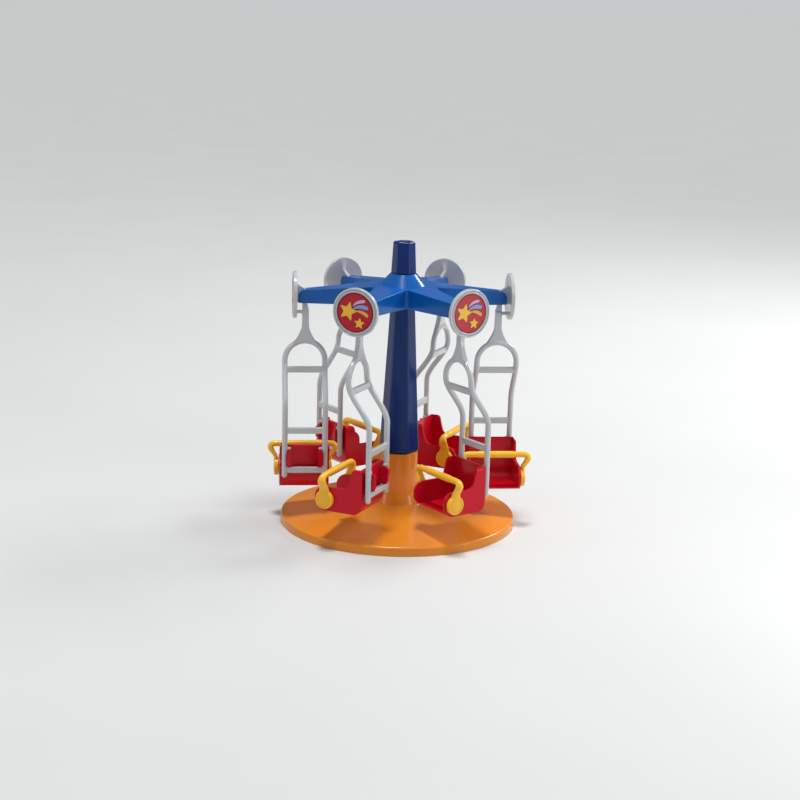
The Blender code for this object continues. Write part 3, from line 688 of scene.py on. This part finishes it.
def tongue_outline():
    """The plate in the arm's slot: a gusset on the sign disc above, a tab to the disc below."""
    neck_in = HANGER_R - NECK_HALF
    neck_out = HANGER_R + NECK_HALF
    disc = DISC_BACK + GAP
    tongue_in = PIVOT.x - TONGUE_IN
    return rounded([
        (neck_in, NECK_TOP - 0.004, 0),
        (neck_out, NECK_TOP - 0.004, 0),
        (neck_out, TAB_BOTTOM, 0.0010),
        (disc, TAB_BOTTOM, 0),
        (disc, TAB_TOP, 0),
        (neck_out, TAB_TOP, 0.0005),
        (neck_out, ARM_BOTTOM, 0),
        (disc, ARM_BOTTOM, 0),
        (disc, GUSSET_TOP, 0),
        (0.0726, ARM_TOP_TIP, 0.002),
        (tongue_in, ARM_TOP_TIP, 0.0040),
        (tongue_in, ARM_BOTTOM + 0.0008, 0.0020),
        (0.0722, ARM_BOTTOM + GAP, 0),
        (neck_in, NECK_TOP + GAP, 0.0015),
    ])


def make_sign_disc():
    """The round sign's holder: plain behind, a rounded rim and a shallow trough round the badge in front."""
    recess_bottom = BADGE_BACK - GAP
    recess_radius = BADGE_RADIUS + GAP
    rim_inner = recess_radius + 0.0007
    trough = DISC_RADIUS - 0.0010
    trough_bottom = DISC_FRONT - 0.0009
    return turned(rounded([
        (0, DISC_BACK, 0),
        (DISC_RADIUS, DISC_BACK, 0.0005),
        (DISC_RADIUS, DISC_FRONT, 0.0005),
        (trough, DISC_FRONT, 0.0004),
        (trough - 0.0005, trough_bottom, 0.0003),
        (rim_inner + 0.0006, trough_bottom, 0.0003),
        (rim_inner, DISC_FRONT, 0.0003),
        (recess_radius, DISC_FRONT, 0.0002),
        (recess_radius, recess_bottom, 0.0001),
        (0, recess_bottom, 0),
    ]), 128, SIGN_PLACE)


def make_hanger():
    pieces = [tube(loop_path(), RAIL_RADIUS),
              plate(neck_outline(), NECK_HALF_DEPTH, RADIAL_PLANE, shift=LOOP_LEAN / 2)]
    for z in RUNG_CENTRES:
        pieces.append(block(at(HANGER_R, rail_f(z), z), (2 * RAIL_HALF, RUNG_DEPTH, RUNG_HEIGHT)))
    for side in (-1, 1):
        rail = HANGER_R + side * RAIL_HALF
        pieces.append(ball(at(rail, RAIL_LEAN, RAIL_BOTTOM + RAIL_RADIUS), RAIL_RADIUS))
        lug_end = HANGER_R + side * (LUG_REACH + 0.0006)
        pieces.append(rod(at(rail, RAIL_LEAN, LUG_Z), at(lug_end, RAIL_LEAN, LUG_Z), LUG_RADIUS, 24))
        pieces.append(ball(at(lug_end, RAIL_LEAN, LUG_Z), LUG_RADIUS * 0.98))
    body = melt(gather(pieces), HANGER_VOXEL, FILLET_PASSES)
    tongue = soften(plate(tongue_outline(), TONGUE_HALF_DEPTH, RADIAL_PLANE), 0.0003, 2)
    trunnion = rod(at(PIVOT.x, -TRUNNION_HALF, PIVOT.z), at(PIVOT.x, TRUNNION_HALF, PIVOT.z),
                   TRUNNION_RADIUS, 24)
    return join(body, tongue, make_sign_disc(), trunnion, solver="MANIFOLD")


# ------------------------------------------------ badge

def star_outline(centre, radius, turn, waist=0.46):
    """A five-pointed star with softened points and waists."""
    corners = []
    for index in range(10):
        reach = radius if index % 2 == 0 else radius * waist
        angle = turn + math.pi * index / 5
        corners.append((centre[0] + reach * math.cos(angle), centre[1] + reach * math.sin(angle),
                        radius * (0.07 if index % 2 == 0 else 0.10)))
    return rounded(corners, steps=5)


def streak_outline(start, bend, end, narrow, wide, steps=18):
    """A tail that widens along a bent line from start to end, and ends round."""
    left = []
    right = []
    for step in range(steps + 1):
        share = step / steps
        point = start.lerp(bend, share).lerp(bend.lerp(end, share), share)
        along = (bend - start).lerp(end - bend, share).normalized()
        side = Vector((-along.y, along.x))
        half = narrow + (wide - narrow) * math.sin(share * math.pi * 0.62)
        left.append(point + side * half)
        right.append(point - side * half)
    along = (end - bend).normalized()
    side = Vector((-along.y, along.x))
    reach = (left[-1] - right[-1]).length / 2
    tip = []
    for step in range(1, 8):
        angle = math.pi * step / 8
        tip.append(end + side * reach * math.cos(angle) + along * reach * math.sin(angle))
    return left + tip + list(reversed(right))


def grown(outline, width):
    """An outline moved outward all round by a width."""
    count = len(outline)
    area = sum(outline[i - 1].cross(outline[i]) for i in range(count))
    sign = 1 if area > 0 else -1
    moved = []
    for index in range(count):
        along = (outline[(index + 1) % count] - outline[index - 1]).normalized()
        moved.append(outline[index] + Vector((along.y, -along.x)) * width * sign)
    return moved


def make_badge(ground, ink, picture):
    """The printed disc: a ground with a thin rim, and stars and tails that stand a hair proud of it."""
    print_height = 0.00005
    face = BADGE_FRONT - 3 * print_height
    disc = turned(rounded([
        (0, BADGE_BACK, 0),
        (BADGE_RADIUS, BADGE_BACK, 0.0001),
        (BADGE_RADIUS, face, 0.0002),
        (0, face, 0),
    ]), 128, SIGN_PLACE)
    edge_line = turned([
        (BADGE_RADIUS * 0.945, face - print_height),
        (BADGE_RADIUS * 0.975, face - print_height),
        (BADGE_RADIUS * 0.975, face + print_height),
        (BADGE_RADIUS * 0.945, face + print_height),
    ], 128, SIGN_PLACE)
    disc.data.materials.append(ground)
    edge_line.data.materials.append(ink)
    drafts = [disc, edge_line]
    for outline, material in picture:
        scaled = [Vector((point.x, point.y)) * BADGE_RADIUS for point in outline]
        line_width = BADGE_RADIUS * 0.028
        for shape, colour, layer in ((grown(scaled, line_width), ink, 1), (scaled, material, 2)):
            raised = plate(shape, layer * print_height, SIGN_PLANE, shift=face)
            raised.data.materials.append(colour)
            drafts.append(raised)
    return keep_materials(drafts)


def keep_materials(drafts):
    """Drafts of one material each, in one mesh that keeps them all."""
    materials = []
    mesh = bmesh.new()
    for draft in drafts:
        material = draft.data.materials[0]
        if material not in materials:
            materials.append(material)
        first = len(mesh.faces)
        mesh.from_mesh(draft.data)
        mesh.faces.ensure_lookup_table()
        for face in mesh.faces[first:]:
            face.material_index = materials.index(material)
        bpy.data.objects.remove(draft)
    result = from_bmesh(mesh)
    for material in materials:
        result.data.materials.append(material)
    return result


# ------------------------------------------------ seat

def seat_outline():
    """The side of the seat, as (f, z, radius) corners: back, floor, round front, armrest, wing."""
    front_round = BAR_Z - SEAT_BOTTOM
    return rounded([
        (SEAT_BACK, SEAT_TOP, 0.0010),
        (SEAT_BACK, SEAT_BOTTOM, SEAT_BACK_ROUND),
        (SEAT_FRONT, SEAT_BOTTOM, front_round),
        (SEAT_FRONT, SEAT_ARMREST, 0.0080),
        (WING_FOOT, SEAT_ARMREST, 0.0060),
        (WING_TOP, SEAT_TOP, SEAT_CORNER),
    ], steps=14)


def front_outline(corner_round):
    """The seat from in front, as (r, z), with its upper corners rounded."""
    left = HANGER_R - SEAT_HALF
    right = HANGER_R + SEAT_HALF
    return rounded([
        (left, SEAT_BOTTOM - 0.001, 0),
        (right, SEAT_BOTTOM - 0.001, 0),
        (right, SEAT_TOP, corner_round),
        (left, SEAT_TOP, corner_round),
    ], steps=10)


def make_clips():
    """The two brackets behind the seat: each stands inside a rail, with an ear that reaches behind it."""
    front = SEAT_BACK + SEAT_WALL / 2
    height = CLIP_TOP - CLIP_BOTTOM
    middle = (CLIP_TOP + CLIP_BOTTOM) / 2
    ear_inner = CLIP_INNER + GAP
    pieces = []
    for side in (-1, 1):
        bracket = at(HANGER_R + side * (CLIP_INNER + CLIP_HALF) / 2, (front + CLIP_REAR) / 2, middle)
        ear = at(HANGER_R + side * (ear_inner + EAR_HALF) / 2, (EAR_FRONT + EAR_REAR) / 2, middle)
        pieces.append(block(bracket, (CLIP_HALF - CLIP_INNER, front - CLIP_REAR, height)))
        pieces.append(block(ear, (EAR_HALF - ear_inner, EAR_FRONT - EAR_REAR, height * 0.7)))
    return pieces


def make_seat():
    body = plate(seat_outline(), SEAT_HALF, FORWARD_PLANE, shift=-HANGER_R)
    beyond = 0.05                   # deeper than the seat
    envelope = plate(front_outline(SEAT_CORNER), beyond, RADIAL_PLANE)
    body = combine(body, [envelope], "INTERSECT", "EXACT")
    room = rounded([
        (SEAT_BACK + SEAT_WALL, SEAT_TOP + SEAT_WALL, 0),
        (SEAT_BACK + SEAT_WALL, SEAT_BOTTOM + SEAT_WALL, SEAT_BACK_ROUND - SEAT_WALL),
        (SEAT_FRONT + SEAT_WALL, SEAT_BOTTOM + SEAT_WALL, 0),
        (SEAT_FRONT + SEAT_WALL, SEAT_TOP + SEAT_WALL, 0),
    ], steps=12)
    body = cut(body, plate(room, SEAT_HALF - SEAT_WALL, FORWARD_PLANE, shift=-HANGER_R))
    body = soften(join(body, *make_clips()), 0.0004)
    holes = []
    for side in (-1, 1):
        inner = HANGER_R + side * (SEAT_HALF - STUD_DEPTH - GAP)
        outer = HANGER_R + side * (SEAT_HALF + SEAT_WALL)
        holes.append(rod(at(inner, BAR_F, BAR_Z), at(outer, BAR_F, BAR_Z), BAR_STUD_RADIUS + GAP))
    return cut(body, *holes)


# ------------------------------------------------ safety bar

def bar_path():
    """Half of the safety bar, as (r from its middle, z, half width along r and z, half width along f)."""
    arm_r = (BAR_DISC_INNER + BAR_DISC_OUTER) / 2
    arm_half = (BAR_DISC_OUTER - BAR_DISC_INNER) / 2
    return [
        (arm_r, BAR_Z, arm_half - 0.0002, 0.0042),
        (arm_r, BAR_Z + 0.0050, arm_half - 0.0002, 0.0042),
        (arm_r + 0.0005, BAR_Z + 0.0087, 0.0016, 0.0037),
        (arm_r + 0.0026, BAR_Z + 0.0120, 0.0019, 0.0035),
        (arm_r + 0.0041, BAR_Z + 0.0150, BAR_RADIUS, 0.0031),
        (arm_r + 0.0032, BAR_Z + 0.0172, BAR_RADIUS, 0.0026),
        (arm_r + 0.0002, BAR_TOP, BAR_RADIUS, BAR_RADIUS),
        (GRIP_HALF, BAR_TOP, BAR_RADIUS, BAR_RADIUS),
    ]


def smooth_stations(stations, steps=6):
    """More stations on a smooth line through the given ones."""
    result = []
    last = len(stations) - 1
    for index in range(last):
        a, b, c, d = (Vector(stations[min(max(index + offset, 0), last)]) for offset in (-1, 0, 1, 2))
        for step in range(steps):
            t = step / steps
            result.append(0.5 * (2 * b + (c - a) * t + (2 * a - 5 * b + 4 * c - d) * t ** 2
                                 + (3 * b - a - 3 * c + d) * t ** 3))
    result.append(Vector(stations[-1]))
    return result


def bar_sweep(sides=24):
    """The arms and the cross bar as one skin, its rings square to the way it runs."""
    half = [Vector(station) for station in bar_path()]
    mirrored = [Vector((-r, z, thin, wide)) for r, z, thin, wide in reversed(half)]
    stations = smooth_stations(half) + smooth_stations(mirrored)
    rings = []
    for index, (r, z, thin, wide) in enumerate(stations):
        before = Vector(stations[max(index - 1, 0)][:2])
        after = Vector(stations[min(index + 1, len(stations) - 1)][:2])
        along = (after - before).normalized()
        ring = []
        for step in range(sides):
            angle = math.tau * (step + 0.5) / sides
            outward = thin * math.cos(angle)
            forward = wide * math.sin(angle)
            ring.append(at(HANGER_R + r - along.y * outward, BAR_F + forward, z + along.x * outward))
        rings.append(ring)
    return loft(rings)


def make_grip():
    """The thicker middle of the bar, with rounded ends and a row of small dimples on top."""
    profile = rounded([
        (0, -GRIP_HALF - GRIP_TAPER, 0),
        (BAR_RADIUS * 0.9, -GRIP_HALF - GRIP_TAPER, 0),
        (GRIP_RADIUS, -GRIP_HALF, 0.0020),
        (GRIP_RADIUS, GRIP_HALF, 0.0020),
        (BAR_RADIUS * 0.9, GRIP_HALF + GRIP_TAPER, 0),
        (0, GRIP_HALF + GRIP_TAPER, 0),
    ])
    grip = turned(profile, 40, Matrix.Translation(at(HANGER_R, BAR_F, BAR_TOP)) @ facing_outward())
    dimples = []
    for index in range(-2, 3):
        centre = at(HANGER_R + index * DIMPLE_PITCH, BAR_F + 0.0012, BAR_TOP + GRIP_RADIUS + 0.00005)
        dimples.append(ball(centre, DIMPLE_RADIUS))
    return cut(grip, *dimples)


def make_safety_bar():
    body = bar_sweep()
    pieces = [make_grip()]
    thickness = BAR_DISC_OUTER - BAR_DISC_INNER
    profile = rounded([
        (0, -STUD_DEPTH - GAP, 0),
        (BAR_STUD_RADIUS, -STUD_DEPTH - GAP, 0.0003),
        (BAR_STUD_RADIUS, 0, 0),
        (BAR_DISC_RADIUS, 0, 0.0003),
        (BAR_DISC_RADIUS, thickness - 0.0003, 0.0010),
        (BAR_DISC_RADIUS * 0.80, thickness - 0.0003, 0.0003),
        (BAR_DISC_RADIUS * 0.73, thickness - 0.0010, 0.0003),
        (BAR_DISC_RADIUS * 0.64, thickness - 0.0004, 0.0006),
        (BAR_DISC_RADIUS * 0.35, thickness - 0.0001, 0.0010),
        (0, thickness, 0),
    ])
    for side in (-1, 1):
        place = Matrix.Translation(at(HANGER_R + side * BAR_DISC_INNER, BAR_F, BAR_Z)) @ facing_outward(side)
        pieces.append(turned(profile, 72, place))
    return join(body, *pieces, solver="MANIFOLD")


# ------------------------------------------------ materials

def adjust(item, **values):
    """Set a node's own settings, and its sockets by their names with _ for spaces."""
    for key, value in values.items():
        if hasattr(item, key):
            setattr(item, key, value)
        else:
            item.inputs[key.replace("_", " ")].default_value = value
    return item


def node(tree, kind, **values):
    return adjust(tree.nodes.new(kind), **values)


def new_material(name):
    """A material, its tree, its shader, and coordinates fixed to the object."""
    material = bpy.data.materials.new(name)
    material.use_nodes = True
    tree = material.node_tree
    place = node(tree, "ShaderNodeTexCoord").outputs["Object"]
    return material, tree, tree.nodes["Principled BSDF"], place


def noise(tree, place, scale, detail=3.0, roughness=0.5):
    made = node(tree, "ShaderNodeTexNoise", Scale=scale, Detail=detail, Roughness=roughness)
    tree.links.new(place, made.inputs["Vector"])
    return made.outputs["Fac"]


def remap(tree, value, low, high, to_low, to_high):
    made = node(tree, "ShaderNodeMapRange", From_Min=low, From_Max=high, To_Min=to_low, To_Max=to_high)
    tree.links.new(value, made.inputs["Value"])
    return made.outputs["Result"]


def blend_colours(tree, factor, first, second):
    """A mix of two colours, each three numbers or a socket."""
    made = node(tree, "ShaderNodeMix", data_type="RGBA")
    for socket, colour in ((made.inputs["A"], first), (made.inputs["B"], second)):
        if isinstance(colour, tuple):
            socket.default_value = (*colour, 1.0)
        else:
            tree.links.new(colour, socket)
    tree.links.new(factor, made.inputs["Factor"])
    return made.outputs["Result"]


def stretched(tree, place, scale, turn):
    """Coordinates drawn out along one direction, for hairline scratches."""
    made = node(tree, "ShaderNodeMapping", Scale=scale, Rotation=turn)
    tree.links.new(place, made.inputs["Vector"])
    return made.outputs["Vector"]


def bump(tree, height, strength, distance, under=None, invert=False):
    """A bump of a height, on top of another bump's normal if there is one."""
    made = node(tree, "ShaderNodeBump", Strength=strength, Distance=distance, invert=invert)
    tree.links.new(height, made.inputs["Height"])
    if under is not None:
        tree.links.new(under, made.inputs["Normal"])
    return made.outputs["Normal"]


def shade(colour, factor):
    return tuple(min(1.0, channel * factor) for channel in colour)


def plastic(name, colour, gloss=0.25, coat=0.08, shine=0.28, wear=1.0):
    """Moulded plastic: faint flow marks in its colour, fine grain, hairline scratches in its gloss."""
    material, tree, shader, place = new_material(name)
    adjust(shader, IOR=1.52, Specular_IOR_Level=shine, Coat_Weight=coat, Coat_Roughness=0.06)

    flow = noise(tree, stretched(tree, place, (1.0, 1.0, 0.35), (0.3, 0.2, 0.0)), 38.0, 4.0, 0.6)
    flow = remap(tree, flow, 0.3, 0.7, 0.0, 1.0)
    fleck = remap(tree, noise(tree, place, 900.0, 2.0), 0.62, 0.75, 0.0, 0.12 * wear)
    tint = blend_colours(tree, flow, shade(colour, 0.95), shade(colour, 1.04))
    tint = blend_colours(tree, fleck, tint, shade(colour, 0.80))
    tree.links.new(tint, shader.inputs["Base Color"])

    scratch_a = noise(tree, stretched(tree, place, (1.0, 30.0, 22.0), (0.4, 0.9, 0.3)), 90.0, 2.0)
    scratch_b = noise(tree, stretched(tree, place, (26.0, 1.0, 24.0), (1.1, 0.2, 0.7)), 70.0, 2.0)
    scratches = node(tree, "ShaderNodeMath", operation="MAXIMUM")
    tree.links.new(remap(tree, scratch_a, 0.66, 0.74, 0.0, 1.0), scratches.inputs[0])
    tree.links.new(remap(tree, scratch_b, 0.67, 0.75, 0.0, 1.0), scratches.inputs[1])
    smear = remap(tree, noise(tree, place, 60.0, 5.0, 0.65), 0.3, 0.75, gloss - 0.03, gloss + 0.05)
    rough = node(tree, "ShaderNodeMath", operation="MULTIPLY_ADD")
    tree.links.new(scratches.outputs[0], rough.inputs[0])
    rough.inputs[1].default_value = 0.09 * wear
    tree.links.new(smear, rough.inputs[2])
    tree.links.new(rough.outputs[0], shader.inputs["Roughness"])

    skin = bump(tree, noise(tree, place, 2600.0), 0.08, 0.00004)
    sink = bump(tree, noise(tree, place, 55.0, 1.0), 0.10 * wear, 0.00018, under=skin)
    nick = bump(tree, scratches.outputs[0], 0.06 * wear, 0.00002, under=sink, invert=True)
    tree.links.new(nick, shader.inputs["Normal"])
    return material


def printed(name, colour, gloss=0.35):
    """Ink on a plastic disc: a fine dot screen and slightly uneven cover."""
    material, tree, shader, place = new_material(name)
    adjust(shader, Specular_IOR_Level=0.22, Coat_Weight=0.05, Coat_Roughness=0.15)
    dots = node(tree, "ShaderNodeTexVoronoi", Scale=4200.0, Randomness=0.15)
    tree.links.new(place, dots.inputs["Vector"])
    screen = remap(tree, dots.outputs["Distance"], 0.2, 0.6, 0.0, 0.6)
    cover = remap(tree, noise(tree, place, 500.0, 4.0), 0.35, 0.7, 0.0, 1.0)
    tint = blend_colours(tree, cover, shade(colour, 0.93), shade(colour, 1.05))
    tint = blend_colours(tree, screen, tint, shade(colour, 0.86))
    tree.links.new(tint, shader.inputs["Base Color"])
    tree.links.new(remap(tree, cover, 0.0, 1.0, gloss - 0.04, gloss + 0.06), shader.inputs["Roughness"])
    tree.links.new(bump(tree, dots.outputs["Distance"], 0.08, 0.00002), shader.inputs["Normal"])
    return material


def steel(name):
    """Zinc-plated steel with turning marks and dull spots."""
    material, tree, shader, place = new_material(name)
    adjust(shader, Metallic=1.0)
    rings = node(tree, "ShaderNodeTexWave", wave_type="RINGS", rings_direction="Z", Scale=900.0,
                 Distortion=1.5)
    tree.links.new(place, rings.inputs["Vector"])
    spots = noise(tree, place, 1500.0, 4.0)
    dulling = remap(tree, spots, 0.35, 0.7, 0.0, 1.0)
    tint = blend_colours(tree, dulling, (0.62, 0.62, 0.60), (0.44, 0.44, 0.43))
    tree.links.new(tint, shader.inputs["Base Color"])
    tree.links.new(remap(tree, spots, 0.3, 0.7, 0.26, 0.46), shader.inputs["Roughness"])
    tree.links.new(bump(tree, rings.outputs["Fac"], 0.2, 0.00003), shader.inputs["Normal"])
    return material


ORANGE = plastic("orange_plastic", (0.74, 0.245, 0.020), gloss=0.22, wear=0.5)
BLUE = plastic("blue_plastic", (0.001, 0.100, 0.40), gloss=0.20, wear=0.7)
# Painted shade: the star's blue plastic made darker for the column and the finial, so the shade that the
# column stands in under the star is painted into their colour
SHADED_BLUE = plastic("blue_plastic_painted_shade", (0.001, 0.025, 0.150), gloss=0.16, coat=0.12, shine=0.18,
                    wear=0.7)
GREY = plastic("silver_grey_plastic", (0.51, 0.53, 0.55), gloss=0.18, coat=0.2, shine=0.5)
RED = plastic("red_plastic", (0.57, 0.004, 0.018), gloss=0.20, shine=0.16)
YELLOW = plastic("yellow_plastic", (0.90, 0.48, 0.030), gloss=0.22)
STEEL = steel("zinc_steel")
PRINT_RED = printed("badge_print_red", (0.52, 0.009, 0.026))
PRINT_INK = printed("badge_print_ink", (0.045, 0.012, 0.018))
PRINT_YELLOW = printed("badge_print_yellow", (0.95, 0.50, 0.045))
PRINT_PINK = printed("badge_print_pink", (0.70, 0.40, 0.66))
PRINT_BLUE = printed("badge_print_blue", (0.30, 0.32, 0.62))
PRINT_ORANGE = printed("badge_print_orange", (0.90, 0.36, 0.06))


# ------------------------------------------------ assembly

def finish_mesh(draft, name, material, angle=35):
    """Smooth shading that leaves large flat faces flat and turns only over the narrow edges."""
    draft.data.shade_smooth()
    draft.data.set_sharp_from_angle(angle=math.radians(angle))
    weighted = draft.modifiers.new("weighted", "WEIGHTED_NORMAL")
    weighted.keep_sharp = True
    weighted.weight = 100
    draft = bake(draft, weld=False)
    draft.data.name = name
    if material is not None:
        draft.data.materials.clear()
        draft.data.materials.append(material)
    return draft


def fix(cad_node, draft, body, material):
    """A piece that stands for one CAD node."""
    piece = finish_mesh(draft, cad_node, material)
    piece.name = cad_node + "_look"
    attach(piece, body)
    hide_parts(cad_node)


def fix_six(kind, draft, body, material):
    """Six pieces from one draft, turned about +Z, each standing for its own swing's CAD node."""
    for number in range(1, SWINGS + 1):
        piece = link("draft", draft.data.copy())
        piece.data.transform(Matrix.Rotation(math.tau * (number - 1) / SWINGS, 4, "Z"))
        fix(f"{kind}_{number}", piece, f"{body}_{number}", material)
    bpy.data.objects.remove(draft)


def picture():
    """The badge's print in units of its radius: three tails, a large star at their start, a small one."""
    tails = (
        ((-0.10, 0.33), (0.08, 0.58), (0.48, 0.60), 0.080, PRINT_PINK),
        ((-0.10, 0.17), (0.22, 0.41), (0.64, 0.27), 0.105, PRINT_BLUE),
        ((0.06, 0.07), (0.38, 0.12), (0.66, -0.10), 0.095, PRINT_ORANGE),
    )
    stars = (((-0.39, 0.04), 0.54, 3), ((0.25, -0.53), 0.32, 12))
    shapes = []
    for start, bend, end, width, ink in tails:
        shapes.append((streak_outline(Vector(start), Vector(bend), Vector(end), 0.03, width), ink))
    for centre, radius, turn in stars:
        shapes.append((star_outline(centre, radius, math.radians(turn)), PRINT_YELLOW))
    return shapes


fix("base_plate", make_base_plate(), "base", ORANGE)
fix("column", make_column(), "base", SHADED_BLUE)
fix("column_screw", make_screw(STUB_TOP - STUB_WALL, 1), "base", STEEL)
fix("finial", make_finial(), "base", SHADED_BLUE)
fix("finial_screw", make_screw(FINIAL_SEAT, -1), "base", STEEL)
fix("star_spider", make_star_spider(), "rotor", BLUE)
fix_six("hanger", make_hanger(), "swing", GREY)
fix_six("badge", make_badge(PRINT_RED, PRINT_INK, picture()), "swing", None)
fix_six("seat", make_seat(), "swing", RED)
fix_six("safety_bar", make_safety_bar(), "bar", YELLOW)


# ------------------------------------------------ studio

CAMERA_DISTANCE = 1.275
CAMERA_LENS = 75.19
CAMERA_AZIMUTH = math.radians(-5.9)     # from -Y towards +X
CAMERA_ELEVATION = math.radians(13.55)
CAMERA_ROLL = math.radians(1.54)
TARGET_SIDE = -0.00014
TARGET_HEIGHT = 0.0952


def add_camera():
    away = Vector((math.cos(CAMERA_ELEVATION) * math.sin(CAMERA_AZIMUTH),
                   -math.cos(CAMERA_ELEVATION) * math.cos(CAMERA_AZIMUTH),
                   math.sin(CAMERA_ELEVATION)))
    right = Vector((math.cos(CAMERA_AZIMUTH), math.sin(CAMERA_AZIMUTH), 0))
    target = right * TARGET_SIDE + Vector((0, 0, TARGET_HEIGHT))
    turn = away.to_track_quat("Z", "Y").to_matrix() @ Matrix.Rotation(CAMERA_ROLL, 3, "Z")
    data = bpy.data.cameras.new("camera")
    data.sensor_width = 36.0
    data.lens = CAMERA_LENS
    data.clip_start = 0.01
    camera = link("camera", data)
    camera.matrix_world = Matrix.Translation(target + away * CAMERA_DISTANCE) @ turn.to_4x4()
    bpy.context.scene.camera = camera


def add_softbox(name, place, size, power, height=None):
    """A soft light aimed at the middle of the column: a disc, or an upright strip with a height."""
    data = bpy.data.lights.new(name, "AREA")
    data.shape = "RECTANGLE" if height else "DISK"
    data.size = size
    data.size_y = height or size
    data.energy = power
    lamp = link(name, data)
    lamp.location = place
    aim = Vector((0, 0, 0.08)) - Vector(place)
    lamp.rotation_euler = aim.to_track_quat("-Z", "Y").to_euler()


def add_key():
    """A broad light from nearly overhead, even over the whole floor."""
    data = bpy.data.lights.new("key", "SUN")
    data.energy = 2.05
    data.angle = math.radians(11)
    lamp = link("key", data)
    lamp.rotation_euler = Vector((0.06, 0.05, -1.0)).to_track_quat("-Z", "Y").to_euler()


def add_floor():
    mesh = bmesh.new()
    bmesh.ops.create_circle(mesh, cap_ends=True, radius=40.0, segments=96)
    floor = from_bmesh(mesh)
    floor.name = "floor"
    material, tree, shader, place = new_material("pale_floor")
    cloud = noise(tree, place, 6.0, 3.0)
    tint = blend_colours(tree, cloud, (0.58, 0.58, 0.57), (0.62, 0.62, 0.61))
    tree.links.new(tint, shader.inputs["Base Color"])
    adjust(shader, Roughness=0.75)
    floor.data.materials.append(material)


def add_world():
    """Soft light from above that fades towards the horizon, and a plain pale backdrop."""
    world = bpy.data.worlds.new("studio")
    world.use_nodes = True
    tree = world.node_tree
    light = adjust(tree.nodes["Background"], Color=(0.90, 0.95, 1.0, 1.0))
    direction = node(tree, "ShaderNodeSeparateXYZ")
    sky = node(tree, "ShaderNodeTexCoord")
    tree.links.new(sky.outputs["Generated"], direction.inputs["Vector"])
    tree.links.new(remap(tree, direction.outputs["Z"], 0.0, 1.0, 0.05, 0.55), light.inputs["Strength"])
    backdrop = node(tree, "ShaderNodeBackground", Color=(0.57, 0.58, 0.59, 1.0))
    choice = node(tree, "ShaderNodeMixShader")
    rays = node(tree, "ShaderNodeLightPath")
    tree.links.new(rays.outputs["Is Camera Ray"], choice.inputs["Fac"])
    tree.links.new(light.outputs["Background"], choice.inputs[1])
    tree.links.new(backdrop.outputs["Background"], choice.inputs[2])
    tree.links.new(choice.outputs["Shader"], tree.nodes["World Output"].inputs["Surface"])
    bpy.context.scene.world = world
    bpy.context.scene.view_settings.view_transform = "Standard"


add_floor()
add_world()
add_key()
add_softbox("side", (1.15, 0.50, 0.90), 0.90, 13.0, height=0.20)
add_softbox("fill", (0.65, -1.50, 1.35), 0.80, 4.0)
add_softbox("left_strip", (-0.54, -0.14, 0.14), 0.10, 0.30, height=0.22)
add_softbox("right_strip", (0.48, -0.30, 0.14), 0.10, 0.45, height=0.22)
add_camera()
